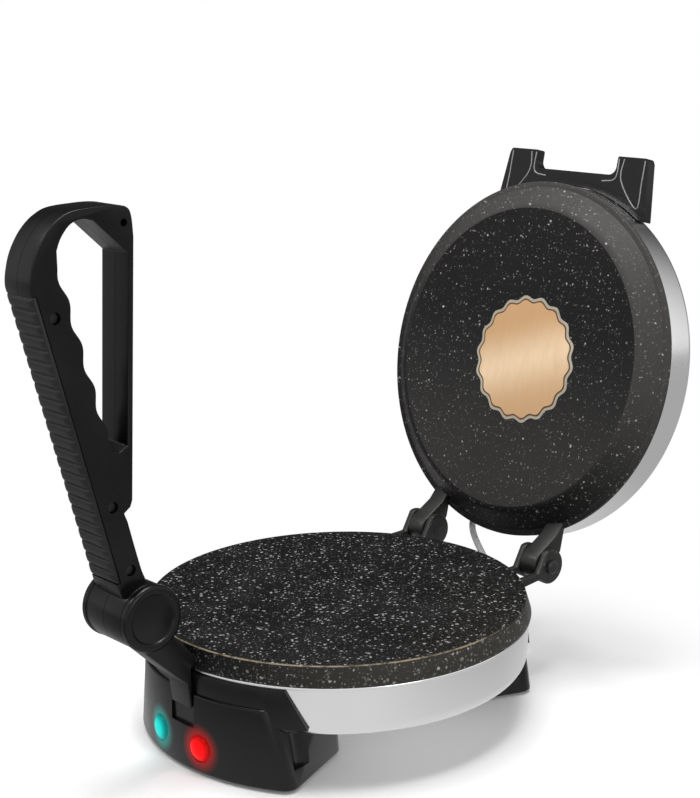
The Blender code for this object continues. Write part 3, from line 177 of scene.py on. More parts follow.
class Graph:
    """Small helper that adds and links shader nodes."""

    def __init__(self, tree: bpy.types.NodeTree) -> None:
        """Takes the node tree to build in."""
        self.tree = tree

    def node(self, kind: str, **settings: object) -> bpy.types.Node:
        """Adds a node.

        Args:
            kind: Blender's node type name.
            settings: Properties of the node.

        Returns:
            The new node.
        """
        made = self.tree.nodes.new(kind)
        for key, value in settings.items():
            setattr(made, key, value)
        return made

    def feed(self, target: Socket, value: Value) -> None:
        """Links a socket into another, or sets a plain value on it.

        Args:
            target: The input.
            value: An output socket, a number, a vector or a colour without alpha.
        """
        if isinstance(value, bpy.types.NodeSocket):
            self.tree.links.new(value, target)
        else:
            target.default_value = (*value, 1.0) if target.type == "RGBA" else value

    def fill(self, node: bpy.types.Node, **values: Value) -> None:
        """Feeds a node's inputs by name, with an underscore for each space in the name.

        Args:
            node: The node.
            values: What each input gets.
        """
        for key, value in values.items():
            self.feed(node.inputs[key.replace("_", " ")], value)

    def math(self, operation: str, *values: Value) -> Socket:
        """Adds a Math node.

        Args:
            operation: Blender's name of the operation.
            values: Its inputs in order.

        Returns:
            The result.
        """
        made = self.node("ShaderNodeMath", operation=operation)
        for target, value in zip(made.inputs, values):
            self.feed(target, value)
        return made.outputs[0]

    def product(self, first: Value, *others: Value) -> Socket:
        """Multiplies values from left to right.

        Args:
            first: The first value.
            others: What it is multiplied by.

        Returns:
            The product.
        """
        for other in others:
            first = self.math("MULTIPLY", first, other)
        return first

    def vector(self, operation: str, *values: Value) -> bpy.types.Node:
        """Adds a Vector Math node.

        Args:
            operation: Blender's name of the operation.
            values: Its inputs in order.

        Returns:
            The node, with a Vector and a Value output.
        """
        made = self.node("ShaderNodeVectorMath", operation=operation)
        for target, value in zip(made.inputs, values):
            self.feed(target, value)
        return made

    def measure(self, operation: str, *values: Value) -> Socket:
        """Adds a Vector Math node that gives one number, such as a distance."""
        return self.vector(operation, *values).outputs["Value"]

    def axes(self, vector: Socket) -> tuple[Socket, Socket, Socket]:
        """Splits coordinates.

        Args:
            vector: The coordinates.

        Returns:
            X, Y and Z.
        """
        made = self.node("ShaderNodeSeparateXYZ")
        self.feed(made.inputs[0], vector)
        return tuple(made.outputs)

    def join(self, *values: Value) -> Socket:
        """Makes coordinates of up to three values.

        Args:
            values: X, Y and Z; what is left out stays 0.

        Returns:
            The coordinates.
        """
        made = self.node("ShaderNodeCombineXYZ")
        for target, value in zip(made.inputs, values):
            self.feed(target, value)
        return made.outputs[0]

    def spread(self, value: Value, low: float, high: float, to: Point2 = (0.0, 1.0)) -> Socket:
        """Maps a value smoothly from low..high onto another range.

        Args:
            value: What is mapped.
            low: Value that gives the first end.
            high: Value that gives the second end.
            to: The two ends.

        Returns:
            The mapped value.
        """
        made = self.node("ShaderNodeMapRange", interpolation_type="SMOOTHSTEP")
        for target, item in zip(made.inputs, (value, low, high, *to)):
            self.feed(target, item)
        return made.outputs[0]

    def blend(self, factor: Value, first: Value, second: Value) -> Socket:
        """Mixes two colours.

        Args:
            factor: Share of the second colour.
            first: Colour at 0.
            second: Colour at 1.

        Returns:
            The mixed colour.
        """
        made = self.node("ShaderNodeMix", data_type="RGBA")
        sockets = [made.inputs[0], made.inputs[6], made.inputs[7]]
        for target, value in zip(sockets, (factor, first, second)):
            self.feed(target, value)
        return made.outputs[2]

    def noise(self, vector: Socket, scale: Value, detail: float = 2.0) -> Socket:
        """Adds a noise texture.

        Args:
            vector: Where it is looked up.
            scale: Its scale.
            detail: Its number of finer layers.

        Returns:
            Its value.
        """
        made = self.node("ShaderNodeTexNoise")
        self.fill(made, Vector=vector, Scale=scale, Detail=detail)
        return made.outputs[0]


def group(
    name: str, inputs: dict[str, tuple[str, object]], outputs: dict[str, str]
) -> tuple[Graph, dict[str, Socket], dict[str, Socket]]:
    """Starts a shader node group.

    Args:
        name: Name of the group.
        inputs: Socket type and default of each input.
        outputs: Socket type of each output.

    Returns:
        The group's graph, its input sockets and its output sockets by name.
    """
    tree = bpy.data.node_groups.new(name, "ShaderNodeTree")
    for key, (kind, default) in inputs.items():
        made = tree.interface.new_socket(key, in_out="INPUT", socket_type=kind)
        if default is not None:
            made.default_value = default
    for key, kind in outputs.items():
        tree.interface.new_socket(key, in_out="OUTPUT", socket_type=kind)
    entry = tree.nodes.new("NodeGroupInput")
    leave = tree.nodes.new("NodeGroupOutput")
    return (
        Graph(tree),
        {key: entry.outputs[key] for key in inputs},
        {key: leave.inputs[key] for key in outputs},
    )


@dataclass(frozen=True)
class FleckLayer:
    """Flecks of one size in the stone-like coating."""

    scale: float
    reach: float
    share: float
    bright: float


FLECK_LAYERS = (
    FleckLayer(scale=620.0, reach=0.34, share=1.0, bright=0.42),
    FleckLayer(scale=330.0, reach=0.30, share=0.8, bright=0.80),
    FleckLayer(scale=205.0, reach=0.22, share=0.55, bright=1.0),
)


def granite_group() -> bpy.types.NodeTree:
    """Group of stone-like flecks in three sizes.

    Returns:
        A group with a mask that holds each fleck's brightness, and a height.
    """
    graph, given, made = group(
        "granite_flecks",
        {
            "Vector": ("NodeSocketVector", None),
            "Density": ("NodeSocketFloat", 0.5),
            "Size": ("NodeSocketFloat", 1.0),
        },
        {"Mask": "NodeSocketFloat", "Height": "NodeSocketFloat"},
    )
    warp_scale, warp_reach, grain_scale, fleck_height = 420.0, (0.0022,) * 3, 1400.0, 0.5
    warp = graph.node("ShaderNodeTexNoise")
    graph.fill(warp, Vector=given["Vector"], Scale=warp_scale)
    bent = graph.vector("MULTIPLY_ADD", warp.outputs["Color"], warp_reach, given["Vector"]).outputs[0]
    edge_softness, least_size, least_shade = 0.10, 0.35, 0.18
    total: Value = 0.0
    for layer in FLECK_LAYERS:
        cells = graph.node("ShaderNodeTexVoronoi")
        graph.fill(cells, Vector=bent, Scale=layer.scale)
        tone = graph.node("ShaderNodeSeparateColor")
        graph.feed(tone.inputs[0], cells.outputs["Color"])
        choice, breadth, light = tone.outputs
        chosen = graph.math("LESS_THAN", choice, graph.product(given["Density"], layer.share))
        own_size = graph.math("MULTIPLY_ADD", breadth, layer.reach, layer.reach * least_size)
        near = graph.math("SUBTRACT", graph.product(given["Size"], own_size), cells.outputs["Distance"])
        fleck = graph.product(graph.spread(near, 0.0, edge_softness), chosen)
        shade = graph.math("MULTIPLY_ADD", graph.product(light, light), 1.0 - least_shade, least_shade)
        total = graph.math("MAXIMUM", total, graph.product(fleck, shade, layer.bright))
    graph.feed(made["Mask"], total)
    grain = graph.noise(given["Vector"], grain_scale)
    graph.feed(made["Height"], graph.math("MULTIPLY_ADD", total, fleck_height, grain))
    return graph.tree


def brushed_group() -> bpy.types.NodeTree:
    """Group of fine turned lines and soft unevenness on steel.

    Returns:
        A group with a line height and a broad variation.
    """
    graph, given, made = group(
        "turned_lines",
        {"Vector": ("NodeSocketVector", None)},
        {"Lines": "NodeSocketFloat", "Cloud": "NodeSocketFloat"},
    )
    fine, broad, cloud_scale = 1500.0, 6.0, 9.0
    x, y, z = graph.axes(given["Vector"])
    radius = graph.measure("LENGTH", graph.join(x, y))
    rings = graph.join(graph.product(radius, fine), graph.product(x, broad), graph.product(z, fine))
    graph.feed(made["Lines"], graph.noise(rings, 1.0, 3.0))
    graph.feed(made["Cloud"], graph.noise(given["Vector"], cloud_scale))
    return graph.tree


def moulded_group() -> bpy.types.NodeTree:
    """Group of moulded plastic grain.

    Returns:
        A group with a fine height and a broad variation of gloss.
    """
    graph, given, made = group(
        "moulded_grain",
        {"Vector": ("NodeSocketVector", None), "Scale": ("NodeSocketFloat", 1800.0)},
        {"Height": "NodeSocketFloat", "Gloss": "NodeSocketFloat"},
    )
    gloss_scale, detail = 22.0, 3.0
    graph.feed(made["Height"], graph.noise(given["Vector"], given["Scale"], detail))
    graph.feed(made["Gloss"], graph.noise(given["Vector"], gloss_scale, detail))
    return graph.tree


def weave_group() -> bpy.types.NodeTree:
    """Group of a braided sleeve, two sets of crossing strands.

    Returns:
        A group with the strands' height.
    """
    graph, given, made = group("braid", {"Vector": ("NodeSocketVector", None)}, {"Height": "NodeSocketFloat"})
    strands_scale = 5200.0
    x, _, z = graph.axes(given["Vector"])
    heights = [
        graph.math("SINE", graph.product(graph.math("MULTIPLY_ADD", x, slope, z), strands_scale))
        for slope in (1.0, -1.0)
    ]
    graph.feed(made["Height"], graph.math("MAXIMUM", *heights))
    return graph.tree


@dataclass(frozen=True)
class Granite:
    """Dark coating with pale flecks, from low_base at the foot to base higher up; this height gradient,
    leaned sideways by slant, is painted light and shade.
    """

    name: str
    base: Colour
    low_base: Colour
    density: float
    size: float
    fleck: Colour = (0.74, 0.73, 0.72)
    worn_edge: bool = False
    gloss: float = 0.0
    slant: float = 0.0
    dust: Colour = (0.02, 0.02, 0.021)
    dust_scale: float = 30.0
    dust_most: float = 0.12
    fade: Point2 = (0.12, 0.25)
    fade_slant: float = 0.08
    rough: Point2 = (0.46, 0.58)
    specular: float = 0.18
    relief: float = 0.16
    depth: float = 0.00006

    def make(self, library: "Finishes") -> bpy.types.Material:
        """Builds the material.

        Args:
            library: Source of the shared groups.

        Returns:
            The finished material.
        """
        material, graph, shader, place = library.start(self.name)
        flecks = library.use(graph, "granite", Vector=place, Density=self.density, Size=self.size)
        x, y, z = graph.axes(place)
        # Painted light and shade: the colour goes from low_base at the foot to base higher up, leaned
        # sideways by slant.
        height = graph.math("MULTIPLY_ADD", x, self.slant, z)
        rise = graph.spread(height, self.fade[0], self.fade[1] + self.slant * self.fade_slant)
        ground = graph.blend(rise, self.low_base, self.base)
        cloud = graph.noise(place, self.dust_scale)
        ground = graph.blend(graph.spread(cloud, 0.4, 0.75, (0.0, self.dust_most)), ground, self.dust)
        # On the plate's rim: painted light on the right of its side, and a worn line along its front edge.
        if self.worn_edge:
            rim = RimWear(graph, place, (x, y, z))
            ground = rim.warm_side(ground)
        colour = graph.blend(flecks.outputs["Mask"], ground, self.fleck)
        if self.worn_edge:
            colour = rim.worn_line(colour)
        rough = graph.spread(cloud, 0.3, 0.7, (self.rough[0] - self.gloss, self.rough[1] - self.gloss))
        graph.fill(shader, Base_Color=colour, Roughness=rough, Specular_IOR_Level=self.specular + self.gloss)
        library.bump(graph, shader, flecks.outputs["Height"], self.relief, self.depth)
        return material


class RimWear:
    """Marks at the cooking plate's rim: painted light on the right of its side, and a line where the coating
    is worn off.
    """

    # Colour of the painted light on the right of the rim's side.
    side_tint: Colour = (0.036, 0.033, 0.028)
    bare_metal: Colour = (0.36, 0.29, 0.19)
    rim_radius: Point2 = (0.1205, 0.1208)
    side_top: Point2 = (0.0786, 0.0790)
    line_foot: Point2 = (0.07885, 0.07925)
    line_top: Point2 = (0.07965, 0.07995)
    right_reach: Point2 = (0.02, 0.12)
    right_level: Point2 = (0.0, 0.9)
    front_reach: Point2 = (-0.02, 0.03)
    patch_scale: float = 160.0
    patch_level: Point2 = (0.25, 0.95)

    def __init__(self, graph: Graph, place: Socket, axes: tuple[Socket, Socket, Socket]) -> None:
        """Finds the mask of what lies at the disc's rim.

        Args:
            graph: The material's graph.
            place: Object coordinates.
            axes: The same, as X, Y and Z.
        """
        self.graph = graph
        self.place = place
        self.x, self.y, self.z = axes
        flat = graph.vector("MULTIPLY_ADD", place, (1.0, 1.0, 0.0), (0.0, -PLACES.axis_y, 0.0))
        self.rim = graph.spread(graph.measure("LENGTH", flat.outputs[0]), *self.rim_radius)

    def warm_side(self, ground: Socket) -> Socket:
        """Paints light on the right of the rim's side.

        Args:
            ground: Colour of the coating.

        Returns:
            The coating with its painted light.
        """
        side = self.graph.product(self.graph.spread(self.z, *self.side_top, FALL), self.rim)
        right = self.graph.spread(self.x, *self.right_reach, self.right_level)
        return self.graph.blend(self.graph.product(side, right), ground, self.side_tint)

    def worn_line(self, colour: Socket) -> Socket:
        """Bares the metal in a patchy line along the front of the upper edge.

        Args:
            colour: Colour of the coating with its flecks.

        Returns:
            The coating with its worn line.
        """
        graph = self.graph
        above, below = graph.spread(self.z, *self.line_foot), graph.spread(self.z, *self.line_top, FALL)
        line = graph.product(above, below)
        front = graph.product(graph.spread(self.y, *self.front_reach, FALL), self.rim)
        patchy = graph.spread(graph.noise(self.place, self.patch_scale), 0.3, 0.6, self.patch_level)
        return graph.blend(graph.product(graph.product(line, front), patchy), colour, self.bare_metal)


@dataclass(frozen=True)
class Steel:
    """Polished sheet with faint turned lines."""

    name: str
    colour: Colour
    roughness: float
    on_lid: bool = False
    dulled: float = 0.93
    uneven: float = 0.10
    relief: float = 0.05
    depth: float = 0.00002

    def make(self, library: "Finishes") -> bpy.types.Material:
        """Builds the material.

        Args:
            library: Source of the shared groups.

        Returns:
            The finished material.
        """
        material, graph, shader, place = library.start(self.name)
        turn = PLACES.lid if self.on_lid else PLACES.base
        local = graph.node("ShaderNodeMapping", vector_type="TEXTURE")
        graph.fill(local, Vector=place, Location=turn.to_translation(), Rotation=turn.to_euler())
        lines = library.use(graph, "brushed", Vector=local.outputs[0])
        tone = graph.spread(lines.outputs["Cloud"], 0.3, 0.7)
        colour = graph.blend(tone, self.colour, tuple(c * self.dulled for c in self.colour))
        least = self.roughness - self.uneven / 2
        rough = graph.math("MULTIPLY_ADD", lines.outputs["Lines"], self.uneven, least)
        graph.fill(shader, Base_Color=colour, Metallic=1.0, Roughness=rough)
        library.bump(graph, shader, lines.outputs["Lines"], self.relief, self.depth)
        return material


@dataclass(frozen=True)
class Moulded:
    """Plastic, rubber or ceramic with a moulded grain."""

    name: str
    colour: Colour
    roughness: float
    grain: float = 1800.0
    depth: float = 0.00003
    specular: float = 0.35
    relief: float = 0.25
    lighter_by: float = 1.5
    lighter_add: float = 0.002
    uneven: float = 0.14

    def make(self, library: "Finishes") -> bpy.types.Material:
        """Builds the material.

        Args:
            library: Source of the shared groups.

        Returns:
            The finished material.
        """
        material, graph, shader, place = library.start(self.name)
        grain = library.use(graph, "moulded", Vector=place, Scale=self.grain)
        lighter = tuple(min(1.0, c * self.lighter_by + self.lighter_add) for c in self.colour)
        mix = graph.spread(grain.outputs["Gloss"], 0.35, 0.75)
        least = self.roughness - self.uneven / 2
        rough = graph.math("MULTIPLY_ADD", grain.outputs["Gloss"], self.uneven, least)
        colour = graph.blend(mix, self.colour, lighter)
        graph.fill(shader, Base_Color=colour, Roughness=rough, Specular_IOR_Level=self.specular)
        library.bump(graph, shader, grain.outputs["Height"], self.relief, self.depth)
        self.light(graph, shader, place)
        return material

    def light(self, graph: Graph, shader: bpy.types.Node, place: Socket) -> None:
        """Adds what light the finish gives off; a plain one gives none."""


@dataclass(frozen=True)
class StandPlastic(Moulded):
    """Semi-gloss black plastic; the front stand's is lit softly round its two lamps."""

    colour: Colour = (0.0024, 0.0024, 0.0026)
    roughness: float = 0.24
    grain: float = 900.0
    depth: float = 0.00002
    specular: float = 0.30
    relief: float = 0.2
    lighter_by: float = 1.8
    lighter_add: float = 0.0
    green_spot: Point3 | None = None
    red_spot: Point3 | None = None
    green_glow: Colour = (0.0, 0.30, 0.26)
    red_glow: Colour = (0.42, 0.0, 0.0)
    glow_reach: Point2 = (0.0060, 0.0165)
    glow_strength: float = 0.8

    def light(self, graph: Graph, shader: bpy.types.Node, place: Socket) -> None:
        """Adds the glow round each lamp, on the stand that has them.

        Args:
            graph: The material's graph.
            shader: Its Principled shader.
            place: Object coordinates.
        """
        if not (self.green_spot and self.red_spot):
            return
        glow: Value = BLACK
        for spot, colour in ((self.green_spot, self.green_glow), (self.red_spot, self.red_glow)):
            near = graph.spread(graph.measure("DISTANCE", place, spot), *self.glow_reach, FALL)
            glow = graph.blend(near, glow, colour)
        graph.fill(shader, Emission_Color=glow, Emission_Strength=self.glow_strength)


@dataclass(frozen=True)
class Lens:
    """Lit lamp lens, brightest in its middle."""

    name: str
    rim: Colour
    heart: Colour
    centre: Vector
    strength: float = 1.2
    heart_reach: Point2 = (0.0035, 0.0092)
    darker_unlit: float = 0.6
    specular: float = 0.12
    rough: Point2 = (0.26, 0.36)

    def make(self, library: "Finishes") -> bpy.types.Material:
        """Builds the material.

        Args:
            library: Source of the shared groups.

        Returns:
            The finished material.
        """
        material, graph, shader, place = library.start(self.name)
        heart = graph.spread(graph.measure("DISTANCE", place, self.centre), *self.heart_reach, FALL)
        colour = graph.blend(heart, self.rim, self.heart)
        rough = graph.spread(graph.noise(place, 900.0), 0.3, 0.7, self.rough)
        unlit = graph.blend(self.darker_unlit, colour, BLACK)
        graph.fill(shader, Base_Color=unlit, Roughness=rough, Specular_IOR_Level=self.specular)
        graph.fill(shader, Emission_Color=colour, Emission_Strength=self.strength)
        return material


@dataclass(frozen=True)
class Foil:
    """Printed metallic foil of the seal, lighter across its middle."""

    name: str
    top: Colour
    foot: Colour
    roughness: float = 0.42
    middle: float = 0.42
    lean: float = -0.35
    sheen_stretch: Point3 = (300.0, 60.0, 60.0)
    sheen_dark: float = 0.90
    sheen_most: float = 0.16
    metallic: float = 0.15
    specular: float = 0.25

    def make(self, library: "Finishes") -> bpy.types.Material:
        """Builds the material.

        Args:
            library: Source of the shared groups.

        Returns:
            The finished material.
        """
        material, graph, shader, place = library.start(self.name)
        x, _, z = graph.axes(place)
        low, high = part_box("seal_badge")
        slant = graph.math("MULTIPLY_ADD", x, self.lean, z)
        rise = graph.spread(slant, low.z, high.z)
        stretched = graph.node("ShaderNodeMapping")
        graph.fill(stretched, Vector=place, Scale=self.sheen_stretch)
        sheen = graph.noise(stretched.outputs[0], 1.0)
        away = graph.spread(graph.math("ABSOLUTE", graph.math("SUBTRACT", rise, self.middle)), 0.0, 0.5)
        colour = graph.blend(away, self.foot, self.top)
        dark = tuple(c * self.sheen_dark for c in self.top)
        colour = graph.blend(graph.spread(sheen, 0.35, 0.8, (0.0, self.sheen_most)), colour, dark)
        rough = graph.spread(sheen, 0.3, 0.7, (self.roughness, self.roughness + 0.1))
        graph.fill(shader, Base_Color=colour, Roughness=rough)
        graph.fill(shader, Metallic=self.metallic, Specular_IOR_Level=self.specular)
        return material


@dataclass(frozen=True)
class Braid:
    """Woven heat-resistant sleeve, with painted shade in the gaps between its strands."""

    name: str = "grey_sleeve"
    colour: Colour = (0.62, 0.62, 0.61)
    gap_dark: float = 0.55
    rough: Point2 = (0.85, 0.68)
    relief: float = 0.5
    depth: float = 0.0002

    def make(self, library: "Finishes") -> bpy.types.Material:
        """Builds the material.

        Args:
            library: Source of the shared groups.

        Returns:
            The finished material.
        """
        material, graph, shader, place = library.start(self.name)
        strands = library.use(graph, "weave", Vector=place)
        # Painted shade: the gaps between the strands are darker.
        mix = graph.spread(strands.outputs["Height"], -0.2, 0.9)
        dark = tuple(c * self.gap_dark for c in self.colour)
        rough = graph.spread(mix, 0.0, 1.0, self.rough)
        graph.fill(shader, Base_Color=graph.blend(mix, dark, self.colour), Roughness=rough)
        library.bump(graph, shader, strands.outputs["Height"], self.relief, self.depth)
        return material


Finish = Granite | Steel | Moulded | Lens | Foil | Braid


class Finishes:
    """Library of the part's materials, each made once."""

    def __init__(self) -> None:
        """Builds the shared groups."""
        self.groups = {
            "granite": granite_group(),
            "brushed": brushed_group(),
            "moulded": moulded_group(),
            "weave": weave_group(),
        }
        self.made: dict[str, bpy.types.Material] = {}

    def start(self, name: str) -> tuple[bpy.types.Material, Graph, bpy.types.Node, Socket]:
        """Starts a Principled material.

        Args:
            name: Name of the material.

        Returns:
            The material, its graph, its shader and its object coordinates.
        """
        material = bpy.data.materials.new(name)
        material.use_nodes = True
        graph = Graph(material.node_tree)
        shader = material.node_tree.nodes["Principled BSDF"]
        place = graph.node("ShaderNodeTexCoord").outputs["Object"]
        return material, graph, shader, place

    def use(self, graph: Graph, name: str, **values: Value) -> bpy.types.Node:
        """Places a shared group in a material.

        Args:
            graph: The material's graph.
            name: The group's name in the library.
            values: What each of its inputs gets.

        Returns:
            The group's node.
        """
        made = graph.node("ShaderNodeGroup", node_tree=self.groups[name])
        graph.fill(made, **values)
        return made

    def bump(
        self, graph: Graph, shader: bpy.types.Node, height: Socket, strength: float, depth: float
    ) -> None:
        """Feeds a height into the shader's normal.

        Args:
            graph: The material's graph.
            shader: Its Principled shader.
            height: Height from 0 to 1.
            strength: Strength of the effect.
            depth: What a height of 1 stands for, in metres.
        """
        made = graph.node("ShaderNodeBump")
        graph.fill(made, Strength=strength, Distance=depth, Height=height)
        graph.fill(shader, Normal=made.outputs[0])

    def get(self, finish: Finish) -> bpy.types.Material:
        """Returns a finish's material, made on first use.

        Args:
            finish: The finish.

        Returns:
            Its material.
        """
        if finish.name not in self.made:
            self.made[finish.name] = finish.make(self)
        return self.made[finish.name]


PLATE_GRANITE = Granite(
    "granite_plate", (0.003,) * 3, (0.003,) * 3, 1.0, 0.94, (0.46, 0.46, 0.45), worn_edge=True
)
# Painted light: the lid's face is lighter low down.
LID_GRANITE = Granite(
    "granite_lid", (0.003, 0.003, 0.0032), (0.030, 0.028, 0.027), 0.85, 0.72, (0.56, 0.55, 0.53)
)
# Painted light: the band is lighter at its top and to the right.
BAND_GRANITE = Granite(
    "granite_band", (0.046, 0.044, 0.042), (0.004, 0.004, 0.004), 0.85, 0.74, (0.50, 0.49, 0.47), slant=0.5
)
CAST_BLACK = Granite(
    "cast_black", (0.009, 0.009, 0.0095), (0.007, 0.007, 0.0075), 0.16, 0.60, (0.16, 0.16, 0.16), gloss=0.12
)
LUG_CAST = Granite(
    "cast_lug", (0.020, 0.020, 0.019), (0.016, 0.016, 0.015), 0.30, 0.60, (0.24, 0.24, 0.23), gloss=0.14
)
PAN_STEEL = Steel("polished_steel", (0.84, 0.84, 0.85), 0.20)
LID_STEEL = Steel("polished_lid_steel", (0.93, 0.93, 0.94), 0.22, on_lid=True)
ZINC = Steel("zinc_steel", (0.46, 0.47, 0.49), 0.36)
DARK_SCREW = Moulded("blackened_screw", (0.012, 0.012, 0.013), 0.34, 900.0)
PLASTIC = Moulded("satin_black_plastic", (0.0026, 0.0026, 0.0028), 0.28, specular=0.26)
# Pale lines on the bracket's prongs: painted highlights.
HIGHLIGHT_LINE = Moulded("bright_edge_line", (0.22, 0.22, 0.22), 0.30)
GRIP = Moulded("grip_rubber", (0.0055, 0.0055, 0.0058), 0.42, 1400.0, 0.00006, 0.36)
RUBBER = Moulded("black_rubber", (0.012, 0.012, 0.012), 0.72, 1200.0, 0.00006, 0.25)
SHEATH = Moulded("heater_sheath", (0.10, 0.095, 0.09), 0.50, 1200.0)
CERAMIC = Moulded("white_ceramic", (0.78, 0.76, 0.71), 0.55, 1500.0)
BAKELITE = Moulded("brown_bakelite", (0.13, 0.055, 0.025), 0.42, 1300.0)
SEAL_FACE = Foil("seal_gold", (0.60, 0.36, 0.18), (0.86, 0.64, 0.42))
SEAL_RIM = Foil("seal_rim", (0.42, 0.37, 0.29), (0.50, 0.45, 0.36), 0.34)
SEAL_LINE = Moulded("seal_line", (0.085, 0.040, 0.018), 0.45)
SLEEVE = Braid()


# Mesh building


class Mesher:
    """Builds the meshes of pieces and hands them to the frame."""

    def __init__(self, finishes: Finishes) -> None:
        """Takes the library that pieces get their materials from."""
        self.finishes = finishes

    def solid(self, name: str, bm: bmesh.types.BMesh, frame_at: Matrix) -> Piece:
        """Makes an object at the origin from a bmesh given in its own frame.

        Args:
            name: Name of the piece.
            bm: Its mesh, which is used up.
            frame_at: The mesh's own frame.

        Returns:
            The new object.
        """
        bmesh.ops.remove_doubles(bm, verts=bm.verts, dist=1e-7)
        bmesh.ops.transform(bm, matrix=frame_at, verts=bm.verts)
        bmesh.ops.recalc_face_normals(bm, faces=bm.faces)
        mesh = bpy.data.meshes.new(name)
        bm.to_mesh(mesh)
        bm.free()
        self.smooth(mesh)
        made = bpy.data.objects.new(name, mesh)
        bpy.context.scene.collection.objects.link(made)
        return made

    def smooth(self, mesh: bpy.types.Mesh) -> None:
        """Shades a mesh smooth but for its sharp edges."""
        mesh.shade_smooth()
        mesh.set_sharp_from_angle(angle=math.radians(SHARP_ANGLE))

    def turned(self, name: str, profile: list[Point2], frame_at: Matrix, sides: int = DISC_SIDES) -> Piece:
        """Revolves (radius, height) points round Z.

        Args:
            name: Name of the piece.
            profile: Closed line; points on the axis close it.
            frame_at: Where the axis lies.
            sides: Number of facets.

        Returns:
            The new object.
        """
        bm = bmesh.new()
        turns = [math.tau * i / sides for i in range(sides)]
        circle = [(math.cos(a), math.sin(a)) for a in turns]
        rings = []
        for radius, height in profile:
            if radius <= 0.0:
                rings.append([bm.verts.new((0.0, 0.0, height))] * sides)
            else:
                rings.append([bm.verts.new((radius * x, radius * y, height)) for x, y in circle])
        for lower, upper in zip(rings, rings[1:] + rings[:1]):
            for i in range(sides):
                corners = list(dict.fromkeys((lower[i - 1], lower[i], upper[i], upper[i - 1])))
                if len(corners) > 2:
                    bm.faces.new(corners)
        return self.solid(name, bm, frame_at)

    def prism(
        self, name: str, outline: list[Point2], low: float, high: float, frame_at: Matrix, axis: str = "X"
    ) -> Piece:
        """Extrudes an outline.

        Args:
            name: Name of the piece.
            outline: (y, z) points to extrude along X, or (x, y) points along Z.
            low: One end.
            high: The other end.
            frame_at: The outline's own frame.
            axis: X or Z.

        Returns:
            The new object.
        """
        bm = bmesh.new()
        rings = [
            [bm.verts.new((depth, a, b) if axis == "X" else (a, b, depth)) for a, b in outline]
            for depth in sorted((low, high))
        ]
        bm.faces.new(rings[0])
        bm.faces.new(rings[1])
        for i in range(len(outline)):
            bm.faces.new((rings[0][i - 1], rings[0][i], rings[1][i], rings[1][i - 1]))
        return self.solid(name, bm, frame_at)

    def lofted(self, name: str, loops: list[list[tuple]], frame_at: Matrix) -> Piece:
        """Skins loops of equal count and caps both ends.

        Args:
            name: Name of the piece.
            loops: Rings of points from one end to the other.
            frame_at: The loops' own frame.

        Returns:
            The new object.
        """
        bm = bmesh.new()
        rings = [[bm.verts.new(point) for point in loop] for loop in loops]
        bm.faces.new(rings[0])
        bm.faces.new(rings[-1])
        for lower, upper in zip(rings, rings[1:]):
            for i in range(len(lower)):
                bm.faces.new((lower[i - 1], lower[i], upper[i], upper[i - 1]))
        bmesh.ops.triangulate(bm, faces=bm.faces)
        return self.solid(name, bm, frame_at)

    def bevel(self, piece: Piece, width: float, segments: int = 3) -> None:
        """Rounds the sharp edges of a piece.

        Args:
            piece: The object.
            width: Width of the rounding.
            segments: Facets across it.
        """
        modifier = piece.modifiers.new("round_edges", "BEVEL")
        modifier.width = width
        modifier.segments = segments
        modifier.limit_method = "ANGLE"
        modifier.angle_limit = math.radians(40.0)

    def combine(self, piece: Piece, other: Piece, operation: str = "DIFFERENCE") -> None:
        """Cuts or joins another mesh into a piece.

        Args:
            piece: The object.
            other: The mesh that is cut away or joined, and is used up.
            operation: Blender's name of the operation.
        """
        modifier = piece.modifiers.new(other.name, "BOOLEAN")
        modifier.operation = operation
        modifier.solver = "EXACT"
        modifier.object = other

    def bake(self, piece: Piece) -> None:
        """Applies a piece's modifiers and removes the meshes they used.

        Args:
            piece: The object.
        """
        used = [m.object for m in piece.modifiers if m.type == "BOOLEAN"]
        graph = bpy.context.evaluated_depsgraph_get()
        mesh = bpy.data.meshes.new_from_object(piece.evaluated_get(graph))
        piece.modifiers.clear()
        piece.data = mesh
        self.smooth(mesh)
        for other in used:
            bpy.data.objects.remove(other, do_unlink=True)

    def place(self, piece: Piece, finish: Finish, body: Body, slot: str, *nodes: str) -> None:
        """Gives a piece its finish, its body and the CAD nodes it stands for.

        Args:
            piece: The object.
            finish: Its finish.
            body: The body it rides on.
            slot: The record's material slot.
            nodes: CAD nodes that it replaces.
        """
        self.dress(piece, finish, slot, *nodes)
        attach(piece, body.value)

    def dress(self, piece: Piece, finish: Finish, slot: str, *nodes: str) -> None:
        """Finishes a piece's mesh and names the CAD nodes it stands for.

        Args:
            piece: The object.
            finish: Its finish.
            slot: The record's material slot; not used.
            nodes: CAD nodes that it replaces.
        """
        if piece.modifiers:
            self.bake(piece)
        piece.data.materials.clear()
        piece.data.materials.append(self.finishes.get(finish))
        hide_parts(*nodes)
        LOG.info("%s: %d faces, for %s", piece.name, len(piece.data.polygons), ", ".join(nodes))


PLACES = Places.read()
CENTRE: Point2 = (0.0, 0.0)


def facing(point: Vector, way: Vector) -> Matrix:
    """Frame at a point whose Z axis points along a direction."""
    return Matrix.Translation(point) @ way.to_track_quat("Z", "Y").to_matrix().to_4x4()


def along_x(spot: Point2, side: Side = Side.RIGHT) -> Matrix:
    """Frame at a (y, z) place of the base whose Z axis lies along X, out of the given side."""
    return PLACES.base @ Matrix.Translation((0.0, *spot)) @ Matrix.Rotation(side.value * math.pi / 2, 4, "Y")


def oblong(first: Point2, last: Point2) -> list[Point2]:
    """Rectangle between two opposite corners; turned from the axis it is a rod."""
    return [first, (last[0], first[1]), last, (first[0], last[1])]


# Sub-assemblies


